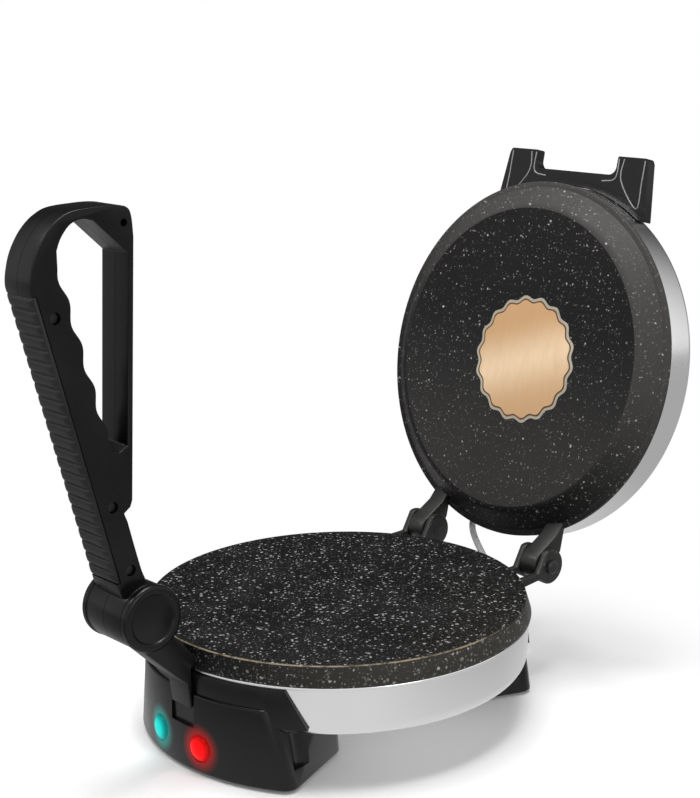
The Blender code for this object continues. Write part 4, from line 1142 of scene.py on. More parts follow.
@dataclass(frozen=True)
class GriddlePlate:
    """Lower cooking plate with its arm and hinge lugs."""

    top_z: float = 0.080
    rim_r: float = 0.125
    top_r: float = 0.1218
    side_h: float = 0.0127
    thick: float = 0.0095
    skirt: float = 0.0045
    edge: float = 0.0009
    arm_t: float = 0.019
    arm_edge: float = 0.0014
    eye_r: float = 0.0135
    bush_r: float = 0.0068
    ear_r: float = 0.0118
    ear_t: float = 0.005
    ear_edge: float = 0.0011
    ear_drop: float = 0.0068
    ear_root: float = 0.030
    ear_sink: float = 0.0024
    tongue_t: float = 0.0143

    def arm_point(self, inward: float, down: float) -> Point2:
        """Place between pivot and rim.

        Args:
            inward: Share of the way from the pivot to the rim.
            down: Share of the way from the pivot's height down to the plate's top.

        Returns:
            The place as (y, z).
        """
        y, z = HANDLE_PIVOT
        return (y + inward * (-self.rim_r - y), z - down * (z - self.top_z))

    def build(self, mesher: Mesher) -> None:
        """Builds disc, arm and lugs.

        Args:
            mesher: The mesh builder.
        """
        low = self.top_z - self.side_h
        side = arc((self.rim_r - self.edge, low + self.edge), self.edge, -90, 0, 4)
        brow = arc((self.top_r - self.edge, self.top_z - self.edge), self.edge, 10, 90, 5)
        profile = [(0.0, self.top_z - self.thick), (self.top_r - self.skirt, self.top_z - self.thick)]
        profile += [(self.rim_r - self.skirt, low)] + side + brow + [(0.0, self.top_z)]
        disc = mesher.turned("griddle_disc", profile, PLACES.base)
        mesher.place(disc, PLATE_GRANITE, Body.BASE, "granite_coating", "lower_plate")
        self.build_arm(mesher)
        self.build_lugs(mesher)

    def build_arm(self, mesher: Mesher) -> None:
        """Builds the arm with the eye that carries the handle's pivot.

        Args:
            mesher: The mesh builder.
        """
        upper = [self.arm_point(0.57, 0.53), self.arm_point(1.03, 1.16)]
        under = ((0.03, 0.80), (0.45, 1.27), (0.870, 1.72), (0.925, 2.25))
        lower = [self.arm_point(*share) for share in under]
        root = [self.arm_point(0.974, 2.25), self.arm_point(0.974, 1.395)]
        inside = -self.rim_r + self.skirt * 0.8
        outline = arc(HANDLE_PIVOT, self.eye_r, -30, 240, 40) + lower + root
        outline += [(inside, root[-1][1]), (inside, upper[-1][1])] + upper[::-1]
        arm = mesher.prism("griddle_arm", outline, -self.arm_t / 2, self.arm_t / 2, PLACES.base)
        mesher.bevel(arm, self.arm_edge)
        bore = oblong((0.0, -0.02), (self.bush_r, 0.02))
        mesher.combine(arm, mesher.turned("eye_bore", bore, along_x(HANDLE_PIVOT), 48))
        mesher.place(arm, CAST_BLACK, Body.BASE, "granite_coating", "lower_plate")

    def build_lugs(self, mesher: Mesher) -> None:
        """Builds the two pairs of hinge ears.

        Args:
            mesher: The mesh builder.
        """
        y, z = LID_HINGE
        root = y - self.ear_root
        top = self.top_z - self.ear_sink
        outline = arc(LID_HINGE, self.ear_r, 110, -110, 32)
        outline += [(y - self.ear_r, z - self.ear_drop), (root, self.top_z - self.thick + 0.0008)]
        outline += [(root, top), (y - self.ear_r, top)]
        for side in Side:
            for wing, word in ((-1, "inner"), (1, "outer")):
                near = side.value * (HINGE_X + wing * self.tongue_t / 2)
                far = side.value * (HINGE_X + wing * (self.tongue_t / 2 + self.ear_t))
                lug = mesher.prism(f"hinge_lug_{side.word}_{word}", outline, near, far, PLACES.base)
                mesher.bevel(lug, self.ear_edge)
                mesher.place(lug, LUG_CAST, Body.BASE, "granite_coating", "lower_plate")


@dataclass(frozen=True)
class SteelPan:
    """Polished pan under the plate, with a rolled bead."""

    top_r: float = 0.1236
    low_r: float = 0.1226
    bottom_z: float = 0.034
    lip_z: float = 0.067
    corner: float = 0.009
    bead: float = 0.0022
    bead_out: float = 0.00096
    wall: float = 0.0011

    def line(self, shrink: float) -> list[Point2]:
        """Outer line from the bottom's centre to the bead's foot.

        Args:
            shrink: How far the line is moved in.

        Returns:
            The line.
        """
        centre = (self.low_r - self.corner, self.bottom_z + self.corner)
        curve = arc(centre, self.corner - shrink, -90, 0, 12)
        return [(0.0, self.bottom_z + shrink)] + curve + [(self.top_r - shrink, self.lip_z - self.bead)]

    def build(self, mesher: Mesher) -> None:
        """Builds the pan.

        Args:
            mesher: The mesh builder.
        """
        bead = arc((self.top_r, self.lip_z - self.bead / 2), self.bead / 2, -70, 90, 8)
        bead = [(self.top_r + (r - self.top_r) * self.bead_out / (self.bead / 2), z) for r, z in bead]
        inner = self.line(self.wall) + [(self.top_r - self.wall, self.lip_z)]
        pan = mesher.turned("steel_pan", self.line(0.0) + bead + inner[::-1], PLACES.base)
        mesher.place(pan, PAN_STEEL, Body.BASE, "polished_steel", "pan")


@dataclass(frozen=True)
class Stand:
    """Black leg under the pan's front or back, with a collar that hugs the pan.

    Radii, arcs and corners go from the foot to the brow; the rear stand is the front one turned round.
    """

    front: bool
    top_z: float = 0.051
    bottom_z: float = 0.0015
    foot_r: float = 0.129
    brow_r: float = 0.1267
    foot_arc: float = 32.5
    brow_arc: float = 26.0
    foot_corner: float = 0.008
    brow_corner: float = 0.006
    foot_back_x: float = 0.052
    brow_back_x: float = 0.047
    back_y: float = 0.044
    heel_ease: float = 0.008
    edge: float = 0.0016
    collar_low: float = 0.040
    collar_top: float = 0.0643
    collar_r: float = 0.1251
    collar_inner_r: float = 0.1186
    collar_foot_arc: float = 40.0
    collar_arc: float = 34.0
    collar_ease: tuple[Point2, ...] = ((0.0006, 0.0), (0.0002, 0.0002), (0.0, 0.0006))
    seat_top: float = 0.0683
    gap: float = 0.0003
    flute_spot: Point3 = (0.0741, -0.0894, 0.013)
    flute_r: float = 0.010
    flute_h: float = 0.051
    flute_lean: float = 0.2
    lamp_x: float = 0.0205
    lamp_mid_x: float = -0.0045
    lamp_z: float = 0.0175
    notch: tuple[Point2, Point2] = ((-0.011, -0.133), (0.011, -0.1255))
    notch_z: Point2 = (0.029, 0.055)
    lead_slot: tuple[Point2, Point2] = ((-0.0205, -0.129), (-0.0075, -0.1196))
    slot_z: float = 0.0518
    hole_r: float = 0.0088
    gland_z: float = 0.020

    @property
    def word(self) -> str:
        """Front or rear."""
        return "front" if self.front else "rear"

    def frame_at(self) -> Matrix:
        """The stand's frame; the rear one is the front one turned about the disc axis."""
        return PLACES.base if self.front else PLACES.base @ Matrix.Rotation(math.pi, 4, "Z")

    def outline(self, share: float, z: float, inset: float) -> list[tuple]:
        """Outline at one height.

        Args:
            share: Share of the way from foot to brow.
            z: The height.
            inset: How far the outline is moved in.

        Returns:
            The outline's points.
        """
        radius, half, corner, back_x = (
            a + (b - a) * share
            for a, b in (
                (self.foot_r, self.brow_r),
                (self.foot_arc, self.brow_arc),
                (self.foot_corner, self.brow_corner),
                (self.foot_back_x, self.brow_back_x),
            )
        )
        radius -= inset
        turn = math.radians(half) - inset / radius
        front = arc(CENTRE, radius, -90 - math.degrees(turn), -90 + math.degrees(turn), 40)
        last = Vector(front[-1])
        knee = last + Vector((math.cos(turn), math.sin(turn))) * corner
        heel = Vector((back_x - inset, -self.back_y - inset))
        down = knee + (heel - knee).normalized() * corner
        away = heel + (knee - heel).normalized() * self.heel_ease
        right = self.bend(last, knee, down)[1:] + self.bend(away, heel, heel - Vector((self.heel_ease, 0.0)))
        left = [(-x, y) for x, y in right[::-1]]
        return [(x, y, z) for x, y in front + right + left]

    def bend(self, start: Vector, corner: Vector, end: Vector, steps: int = 8) -> list[Point2]:
        """Quadratic curve round a corner."""
        spread = [i / steps for i in range(steps + 1)]
        return [tuple(start * (1 - t) ** 2 + corner * 2 * t * (1 - t) + end * t * t) for t in spread]

    def loops(self) -> list[list[tuple]]:
        """Loops from the underside to the brow, both edges rounded.

        Returns:
            The loops.
        """
        turns = [math.radians(90 * i / 4) for i in range(5)]
        eases = [(self.edge * (1 - math.cos(a)), self.edge * (1 - math.sin(a))) for a in turns]
        levels = [(self.bottom_z + rise, inset) for rise, inset in eases]
        levels += [(self.top_z - drop, inset) for inset, drop in eases]
        height = self.top_z - self.bottom_z
        return [self.outline((z - self.bottom_z) / height, z, inset) for z, inset in levels]

    def collar(self) -> list[list[tuple]]:
        """Loops of the thin wall that hugs the pan, its top edge eased.

        Returns:
            The loops.
        """
        levels = [(self.collar_low, self.collar_foot_arc, 0.0)]
        levels += [(self.collar_top - down, self.collar_arc, inset) for down, inset in self.collar_ease]
        loops = []
        for z, half, inset in levels:
            outer = arc(CENTRE, self.collar_r - inset, -90 - half, -90 + half, 45)
            inner = arc(CENTRE, self.collar_inner_r, -90 + half, -90 - half, 45)
            loops.append([(x, y, z) for x, y in outer + inner])
        return loops

    def wall_frame(self, x: float, z: float) -> Matrix:
        """Frame on the front wall, its axis straight out.

        Args:
            x: How far to the right.
            z: The height.

        Returns:
            The frame.
        """
        share = (z - self.bottom_z) / (self.top_z - self.bottom_z)
        radius = self.foot_r + (self.brow_r - self.foot_r) * share
        y = -math.sqrt(radius * radius - x * x)
        return self.frame_at() @ facing(Vector((x, y, z)), Vector((x, y, 0.0)))

    def lamp_frame(self, side: Side) -> Matrix:
        """Frame of a lamp on the front wall."""
        return self.wall_frame(self.lamp_mid_x + side.value * self.lamp_x, self.lamp_z)

    def finish(self) -> StandPlastic:
        """The stand's plastic, with the lamps' glow on the front one.

        Returns:
            The finish.
        """
        if not self.front:
            return StandPlastic("rear_stand_plastic")
        green, red = (tuple(self.lamp_frame(side).to_translation()) for side in Side)
        return StandPlastic("front_stand_plastic", green_spot=green, red_spot=red)

    def build(self, mesher: Mesher) -> None:
        """Builds the stand.

        Args:
            mesher: The mesh builder.
        """
        at = self.frame_at()
        body = mesher.lofted(f"{self.word}_stand_shell", self.loops(), at)
        x, y, z = self.flute_spot
        for side in Side:
            lean = Matrix.Rotation(-side.value * self.flute_lean, 4, "Y")
            spot = at @ Matrix.Translation((side.value * x, y, z)) @ lean
            flute = oblong((0.0, 0.0), (self.flute_r, self.flute_h))
            mesher.combine(body, mesher.turned(f"{self.word}_flute_{side.word}", flute, spot, 48))
        mesher.combine(body, mesher.lofted(f"{self.word}_collar", self.collar(), at), "UNION")
        pan = SteelPan()
        seat = [(r + self.gap if r else r, z - self.gap) for r, z in pan.line(0.0)]
        seat += [(pan.top_r + self.gap, self.seat_top), (0.0, self.seat_top)]
        mesher.combine(body, mesher.turned(f"{self.word}_seat", seat, at))
        if self.front:
            notch = oblong(*self.notch)
            mesher.combine(body, mesher.prism("notch", notch, *self.notch_z, at, "Z"))
            hole = oblong((0.0, -0.006), (self.hole_r, 0.004))
            for side in Side:
                mesher.combine(body, mesher.turned(f"lamp_hole_{side.word}", hole, self.lamp_frame(side), 64))
        else:
            slot = oblong(*self.lead_slot)
            mesher.combine(body, mesher.prism("lead_slot", slot, self.slot_z, self.seat_top, at, "Z"))
            hole = oblong((0.0, -0.014), (self.hole_r, 0.004))
            mesher.combine(body, mesher.turned("gland_hole", hole, self.wall_frame(0.0, self.gland_z), 48))
        mesher.place(body, self.finish(), Body.BASE, "satin_black_plastic", f"{self.word}_stand")


LAMP_COLOURS: dict[Side, tuple[str, Colour, Colour]] = {
    Side.LEFT: ("green", (0.0, 0.12, 0.11), (0.0, 0.50, 0.46)),
    Side.RIGHT: ("red", (0.26, 0.0, 0.0), (0.80, 0.0, 0.002)),
}


@dataclass(frozen=True)
class Lamp:
    """Domed indicator lens, lit."""

    side: Side
    radius: float = 0.0085
    dome: float = 0.0030
    dome_share: float = 0.93
    seat: float = 0.0013
    sink: float = 0.0002
    shank_r: float = 0.0052
    shank_deep: float = 0.0053

    def build(self, mesher: Mesher, stand: Stand) -> None:
        """Builds the lens.

        Args:
            mesher: The mesh builder.
            stand: The stand that carries the lamp.
        """
        at = stand.lamp_frame(self.side)
        turns = [math.radians(90 * i / 10) for i in range(10)]
        reach = self.radius * self.dome_share
        profile = [(0.0, -self.shank_deep), (self.shank_r, -self.shank_deep), (self.shank_r, -self.seat)]
        profile += [(self.radius, -self.seat), (self.radius, -self.sink)]
        profile += [(reach * math.cos(a), -self.sink + self.dome * math.sin(a)) for a in turns]
        profile += [(0.0, self.dome - self.sink)]
        lens = mesher.turned(f"lamp_dome_{self.side.word}", profile, at, 64)
        word, rim, heart = LAMP_COLOURS[self.side]
        finish = Lens(f"lit_{word}", rim, heart, at @ Vector((0, 0, self.dome)))
        mesher.place(lens, finish, Body.BASE, f"{word}_lens", f"lamp_lens_{self.side.word}")


@dataclass(frozen=True)
class Lid:
    """Upper plate, steel shell and hinge tongues, built shut and turned open."""

    flat: float = 0.0809
    flat_r: float = 0.1064
    band_r: float = 0.1195
    lip_r: float = 0.1235
    band_h: float = 0.0100
    lip_h: float = 0.0032
    cast_t: float = 0.0065
    lip_w: float = 0.0055
    lip_edge: float = 0.0008
    ease: float = 0.008
    seam: float = 0.0003
    shell_r: float = 0.1233
    shell_h: float = 0.0244
    shell_corner: float = 0.006
    wall: float = 0.0011
    step_r: float = 0.096
    step: float = 0.0012
    tongue_r: float = 0.0105
    tongue_t: float = 0.0135
    tongue_edge: float = 0.0016
    tongue_root: float = 0.030

    @property
    def lip_low(self) -> float:
        """Height of the lip's foot."""
        return self.flat + self.band_h

    @property
    def lip_high(self) -> float:
        """Height of the lip's top."""
        return self.lip_low + self.lip_h

    @property
    def top(self) -> float:
        """Height of the shell's top."""
        return self.lip_high + self.seam + self.shell_h

    def build(self, mesher: Mesher) -> None:
        """Builds all of the lid but its bracket and seal.

        Args:
            mesher: The mesh builder.
        """
        self.build_plate(mesher)
        line = self.shell_line(0.0) + self.shell_line(self.wall)[::-1]
        shell = mesher.turned("lid_steel_shell", line, PLACES.lid)
        mesher.place(shell, LID_STEEL, Body.LID, "polished_steel", "lid_shell")
        self.build_tongues(mesher)

    def build_plate(self, mesher: Mesher) -> None:
        """Builds the plate's flat face and the sloping band round it, with an eased corner between.

        Args:
            mesher: The mesh builder.
        """
        inner = self.flat + self.cast_t
        slope = math.degrees(math.atan2(self.band_h, self.band_r - self.flat_r))
        heart = self.flat_r - self.ease * math.tan(math.radians(slope / 2))
        face = [(0.0, inner), (0.0, self.flat), (heart, self.flat), (heart, inner)]
        disc = mesher.turned("lid_cooking_face", face, PLACES.lid)
        mesher.place(disc, LID_GRANITE, Body.LID, "granite_coating", "upper_plate")
        low, edge = self.lip_low, self.lip_edge
        band = [(heart, inner - 0.001)] + arc((heart, self.flat + self.ease), self.ease, -90, slope - 90, 8)
        band += [(self.band_r - 0.0010, low - 0.00075), (self.band_r - 0.0002, low - 0.0003)]
        band += [(self.band_r, low)]
        band += arc((self.lip_r - edge, low + edge), edge, -90, 0, 4)
        band += [(self.lip_r, self.lip_high), (self.lip_r - self.lip_w, self.lip_high)]
        ring = mesher.turned("lid_sloping_band", band, PLACES.lid)
        mesher.place(ring, BAND_GRANITE, Body.LID, "granite_coating", "upper_plate")

    def build_tongues(self, mesher: Mesher) -> None:
        """Builds the two tongues that turn between the plate's ears.

        Args:
            mesher: The mesh builder.
        """
        y, _ = LID_HINGE
        root = y - self.tongue_root
        high = self.lip_high - self.lip_edge
        outline = arc(LID_HINGE, self.tongue_r, 75, -140, 36)
        outline += [(root + self.band_h, self.flat + self.band_h / 2), (root, self.lip_low + self.lip_edge)]
        outline += [(root, high), (y - self.tongue_r, high)]
        for side in Side:
            near = side.value * HINGE_X - self.tongue_t / 2
            tongue = mesher.prism(f"lid_tongue_{side.word}", outline, near, near + self.tongue_t, PLACES.lid)
            mesher.bevel(tongue, self.tongue_edge)
            mesher.place(tongue, LUG_CAST, Body.LID, "granite_coating", "upper_plate")

    def shell_line(self, shrink: float) -> list[Point2]:
        """Outer line of the shell from its lower edge to its top's centre.

        Args:
            shrink: How far the line is moved in.

        Returns:
            The line.
        """
        centre = (self.shell_r - self.shell_corner, self.top - self.shell_corner)
        line = [(self.shell_r - shrink, self.lip_high + self.seam)]
        line += arc(centre, self.shell_corner - shrink, 0, 90, 12)
        step = [(self.step_r, self.top - shrink), (self.step_r - 0.0008, self.top - 0.0003 - shrink)]
        step += [(self.step_r - 0.0022, self.top - self.step - shrink)]
        return line + step + [(0.0, self.top - self.step - shrink)]


@dataclass(frozen=True)
class Bracket:
    """Forked black bracket at the lid's front."""

    lid: Lid
    thick: float = 0.008
    proud: float = 0.0009
    web_y: float = 0.134
    prong_y: float = 0.147
    inner_x: float = 0.0362
    outer_x: float = 0.062
    side_x: float = 0.0668
    skirt: float = 0.0035
    notch_r: float = 0.006
    gap: float = 0.0003
    edge: float = 0.0012
    line_half: float = 0.00045
    line_high: float = 0.0004

    def build(self, mesher: Mesher) -> None:
        """Builds the bracket and the thin pale lines on its prongs, which are painted highlights.

        Args:
            mesher: The mesh builder.
        """
        reach = self.lid.shell_r + self.gap
        end = math.degrees(math.asin(self.side_x / reach))
        side_y = math.sqrt(reach**2 - self.side_x**2)
        inner = arc(CENTRE, reach, -90 + end, -90 - end, 60)
        notch = arc((-self.inner_x + self.notch_r, -self.web_y - self.notch_r), self.notch_r, 180, 90, 8)
        left = [(-self.side_x - 0.0009, -side_y), (-self.outer_x - 0.0006, -self.prong_y + 0.003)]
        left += [(-self.outer_x + 0.001, -self.prong_y), (-self.inner_x, -self.prong_y)] + notch
        right = [(-x, y) for x, y in left[::-1]]
        high = self.lid.top + self.proud
        low = high - self.thick - self.lid.shell_corner
        body = mesher.prism("lid_fork", left + right + inner[1:-1], low, high, PLACES.lid, "Z")
        mesher.bevel(body, self.edge)
        floor = high - self.thick
        relief = oblong((self.lid.shell_r + self.skirt, low - 0.004), (0.22, floor))
        mesher.combine(body, mesher.turned("skirt_relief", relief, PLACES.lid))
        mesher.place(body, PLASTIC, Body.LID, "satin_black_plastic", "lid_bracket")
        for side in Side:
            for index, path in enumerate(self.edge_paths(side)):
                line = self.ridge(mesher, f"fork_line_{side.word}_{index}", path, floor)
                mesher.place(line, HIGHLIGHT_LINE, Body.LID, "satin_black_plastic", "lid_bracket")

    def edge_paths(self, side: Side) -> list[list[Point2]]:
        """Painted highlight lines that outline each prong's panel: its inner edge with a curve, and its outer
        V.

        Args:
            side: The prong's side.

        Returns:
            The two lines.
        """
        inner, outer = self.inner_x + 0.0014, self.outer_x - 0.0022
        tip, web = self.prong_y - 0.0016, self.web_y - 0.0035
        curve = [(inner, -tip), (inner, -web - 0.004), (inner - 0.003, -web), (inner - 0.012, -web + 0.0012)]
        fold = inner + 0.0045
        panel = [(fold, -tip), (fold, -web), (outer - 0.001, -web + 0.018), (outer, -web), (outer, -tip)]
        return [[(side.value * x, y) for x, y in rounded(path, 6)] for path in (curve, panel)]

    def ridge(self, mesher: Mesher, name: str, path: list[Point2], floor: float) -> Piece:
        """Thin raised pale line on the prong's face along a path, a painted highlight.

        Args:
            mesher: The mesh builder.
            name: Name of the piece.
            path: The line's middle.
            floor: Height of the prong's face in the shut lid.

        Returns:
            The new object.
        """
        low, high, root = floor - 0.0001, floor - self.line_high, floor + 0.001
        section = ((-1.0, low), (-0.5, high), (0.5, high), (1.0, low), (1.0, root), (-1.0, root))
        loops = []
        for i, point in enumerate(path):
            ahead = Vector(path[min(i + 1, len(path) - 1)]) - Vector(path[max(i - 1, 0)])
            across = Vector((ahead.y, -ahead.x)).normalized() * self.line_half
            loops.append([(*(Vector(point) + across * share), z) for share, z in section])
        return mesher.lofted(name, loops, PLACES.lid)


@dataclass(frozen=True)
class Seal:
    """Scalloped foil seal, bare inside its wavy border."""

    lid: Lid
    radius: float = 0.044
    scallop: float = 0.0024
    lobes: int = 18
    lobe_steps: int = 14
    centre_x: float = 0.010
    lift: float = 0.00004

    def wave(self, radius: float, scallop: float) -> list[Point2]:
        """Scalloped outline.

        Args:
            radius: Radius at the lobes' tips.
            scallop: Depth of the scallops.

        Returns:
            The outline.
        """
        points = []
        for i in range(self.lobes * self.lobe_steps):
            angle = math.tau * i / (self.lobes * self.lobe_steps)
            reach = radius - scallop / 2 + scallop / 2 * math.cos(self.lobes * angle)
            points.append((self.centre_x + reach * math.cos(angle), reach * math.sin(angle)))
        return points

    def build(self, mesher: Mesher) -> None:
        """Builds rim, line and face as thin layers.

        Args:
            mesher: The mesh builder.
        """
        under = self.lid.flat - self.lift
        layers = (
            ("seal_rim", self.radius, self.scallop, 0.00030, SEAL_RIM),
            ("seal_line", self.radius - 0.0021, self.scallop * 0.96, 0.00042, SEAL_LINE),
            ("seal_face", self.radius - 0.0033, self.scallop * 0.92, 0.00054, SEAL_FACE),
        )
        for name, radius, scallop, thick, finish in layers:
            piece = mesher.prism(name, self.wave(radius, scallop), under - thick, under, PLACES.lid, "Z")
            mesher.place(piece, finish, Body.LID, "seal_gold", "seal_badge")


@dataclass(frozen=True)
class HeaterLead:
    """Sleeved lead from the lid's back into the pan."""

    lid: Lid
    radius: float = 0.0023
    lid_x: float = -0.030
    lid_rise: float = 0.009
    pan_x: float = 0.014
    pan_z: float = 0.0583
    sag: float = 0.016
    deep: float = 0.003
    proud: float = 0.0022
    steps: int = 30
    sides: int = 24

    def wall_frame(self, x: float, radius: float, z: float) -> Matrix:
        """Frame at the back of a round wall, its axis straight out.

        Args:
            x: How far to the right.
            radius: Radius of the wall.
            z: The height.

        Returns:
            The frame.
        """
        y = math.sqrt(radius**2 - x**2)
        return facing(Vector((x, y, z)), Vector((x, y, 0.0)))

    def build(self, mesher: Mesher) -> None:
        """Builds the lead.

        Args:
            mesher: The mesh builder.
        """
        foot = PLACES.base @ self.wall_frame(self.pan_x, SteelPan().top_r, self.pan_z)
        head = PLACES.lid @ self.wall_frame(self.lid_x, self.lid.shell_r, self.lid.lip_high + self.lid_rise)
        out = (-self.deep, self.proud, self.proud + self.sag)
        start, leave, first = (head @ Vector((0, 0, z)) for z in out)
        end, enter, last = (foot @ Vector((0, 0, z)) for z in out)
        path = [start]
        for t in (i / self.steps for i in range(self.steps + 1)):
            rest = 1 - t
            path.append(leave * rest**3 + first * 3 * t * rest**2 + last * 3 * t**2 * rest + enter * t**3)
        path.append(end)
        lead = self.tube(mesher, path)
        mesher.dress(lead, SLEEVE, "grey_sleeve", "heater_lead")
        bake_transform(lead)

    def tube(self, mesher: Mesher, path: list[Vector]) -> Piece:
        """Round tube along a path.

        Args:
            mesher: The mesh builder.
            path: The tube's middle.

        Returns:
            The new object.
        """
        turns = [math.tau * k / self.sides for k in range(self.sides)]
        ring = [Vector((self.radius * math.cos(a), self.radius * math.sin(a), 0)) for a in turns]
        loops = []
        for i, point in enumerate(path):
            ahead = path[min(i + 1, len(path) - 1)] - path[max(i - 1, 0)]
            turn = Matrix.Translation(point) @ ahead.to_track_quat("Z", "X").to_matrix().to_4x4()
            loops.append([tuple(turn @ spot) for spot in ring])
        return mesher.lofted("braided_lead", loops, Matrix.Identity(4))


@dataclass(frozen=True)
class Handle:
    """Two-part loop handle with a finger grip; its lines go by shares of its reach and rise."""

    reach: float = 0.062
    rise: float = 0.236
    half: float = 0.013
    lap: float = 0.004
    barrel_r: float = 0.0198
    barrel_half: float = 0.0170
    barrel_edge: float = 0.0006
    arm_half: float = 0.0099
    arm_room_r: float = 0.0147
    sweep: float = 0.011
    soft: float = 0.0016
    bar_t: float = 0.0034
    seam: float = 0.0003
    pad_deep: float = 0.0024
    pad_end: float = 0.0032
    pad_proud: float = 0.0004
    rib_count: int = 23
    waves: int = 4
    wave: float = 0.0015
    wave_steps: int = 14
    hole_r: float = 0.0022
    well_r: float = 0.0034
    well_floor: float = 0.0086
    through: float = 0.03
    cap_r: float = 0.0202
    cap_h: float = 0.0052
    cap_edge: float = 0.0024
    cap_lip: float = 0.0009
    dish_r: float = 0.0158

    def point(self, share: Point2) -> Point2:
        """Place at shares of the reach and the rise."""
        return (HANDLE_PIVOT[0] - share[0] * self.reach, HANDLE_PIVOT[1] + share[1] * self.rise)

    def outline(self) -> list[Point2]:
        """Outer line of the handle: neck, step, back of the bar, crown and grip.

        Returns:
            The line.
        """
        neck = [(-0.060, 0.055), (-0.036, 0.091), (0.003, 0.119), (0.058, 0.174), (0.129, 0.250)]
        step = [(0.161, 0.271), (0.090, 0.2835), (0.064, 0.300)]
        crown = [(-0.092, 0.930), (-0.080, 0.978), (-0.040, 1.000), (0.070, 1.008), (0.258, 1.010)]
        crown += [(0.529, 1.007), (0.677, 0.992), (0.782, 0.971), (0.871, 0.943), (0.948, 0.905)]
        crown += [(0.990, 0.862), (0.994, 0.838)]
        foot = [(0.270, 0.085), (0.200, 0.040), (0.060, 0.040)]
        shares = rounded(neck, 4) + step + rounded(crown) + foot
        return [self.point(share) for share in shares]

    def bar_inner(self, share: float) -> Point2:
        """Place on the bar's inner face.

        Args:
            share: Share of the rise.

        Returns:
            The place.
        """
        low, high = Vector(self.point((0.064, 0.300))), Vector(self.point((-0.092, 0.930)))
        z = HANDLE_PIVOT[1] + share * self.rise
        y = low.x + (high.x - low.x) * (z - low.y) / (high.y - low.y)
        return (y - self.bar_t, z)

    def loop(self) -> list[Point2]:
        """Finger opening with its wavy grip side.

        Returns:
            The opening's outline.
        """
        low, high = Vector(self.point((0.290, 0.458))), Vector(self.point((0.708, 0.880)))
        way = (high - low).normalized()
        side = Vector((way.y, -way.x))
        count = self.waves * self.wave_steps
        line = []
        for t in (i / count for i in range(count + 1)):
            line.append(tuple(low.lerp(high, t) + side * self.wave * math.sin(math.tau * self.waves * t)))
        crown = [(0.706, 0.922), (0.655, 0.950), (0.556, 0.977), (0.435, 0.986), (0.323, 0.979)]
        line += [self.point(share) for share in rounded(crown)]
        line += [self.bar_inner(0.893), self.bar_inner(0.436)]
        return line + [self.point(share) for share in ((0.180, 0.424), (0.240, 0.430))]

    def grip_frame(self) -> tuple[Vector, Vector, Vector, Vector]:
        """Upper end, lower end, way down and way out of the grip's face.

        Returns:
            The four vectors.
        """
        high, low = Vector(self.point((0.994, 0.838))), Vector(self.point((0.270, 0.085)))
        way = (low - high).normalized()
        return high, low, way, Vector((way.y, -way.x))

    def screws(self) -> dict[str, Point2]:
        """Places of the three case screws."""
        shares = {"top": (0.765, 0.769), "middle": (0.280, 0.293), "bottom": (0.124, 0.125)}
        return {word: self.point(share) for word, share in shares.items()}

    def build(self, mesher: Mesher) -> None:
        """Builds both halves, the caps and the grip.

        Args:
            mesher: The mesh builder.
        """
        for side in Side:
            self.build_half(mesher, side)
            self.build_cap(mesher, side)
        self.build_pad(mesher)

    def build_half(self, mesher: Mesher, side: Side) -> None:
        """Builds one half of the case.

        Args:
            mesher: The mesh builder.
            side: Its side.
        """
        sign, word, at = side.value, side.word, PLACES.base
        half = mesher.prism(f"handle_case_{word}", self.outline(), -sign * self.lap, sign * self.half, at)
        through = (-self.through, self.through)
        mesher.combine(half, mesher.prism(f"finger_loop_{word}", self.loop(), *through, at))
        mesher.bevel(half, self.soft, 4)
        edge = self.barrel_edge
        line = [(0.0, -0.002), (self.barrel_r, -0.002)]
        line += arc((self.barrel_r - edge, self.barrel_half - edge), edge, 0, 90, 3)
        line += [(0.0, self.barrel_half)]
        barrel = mesher.turned(f"barrel_{word}", line, along_x(HANDLE_PIVOT, side), 96)
        mesher.combine(half, barrel, "UNION")
        far = oblong((-0.09, 0.0), (-0.30, 0.40))
        mesher.combine(half, mesher.prism(f"far_{word}", far, sign * self.seam / 2, -sign * 0.02, at))
        fan = arc(HANDLE_PIVOT, self.barrel_r + self.sweep, -120, 60, 30)
        fan += arc(HANDLE_PIVOT, self.arm_room_r, 60, 240, 40)
        room = mesher.prism(f"arm_room_{word}", fan, -sign * self.lap, sign * self.arm_half, at)
        mesher.combine(half, room)
        high, low, way, out = self.grip_frame()
        first, last = high + way * self.pad_end, low - way * self.pad_end
        deep, clear = self.pad_deep + self.seam, 0.004
        band = [first + out * clear, last + out * clear, last - out * deep, first - out * deep]
        seat = [tuple(corner) for corner in band]
        mesher.combine(half, mesher.prism(f"pad_seat_{word}", seat, *through, at))
        hang = oblong((0.0, -self.through), (self.hole_r, self.through))
        mesher.combine(half, mesher.turned(f"hang_{word}", hang, along_x(self.point((0.008, 0.966))), 32))
        well = oblong((0.0, self.well_floor), (self.well_r, 0.02))
        for name, spot in self.screws().items():
            mesher.combine(half, mesher.turned(f"well_{word}_{name}", well, along_x(spot), 40))
        mesher.place(half, PLASTIC, Body.HANDLE, "satin_black_plastic", f"handle_shell_{word}")

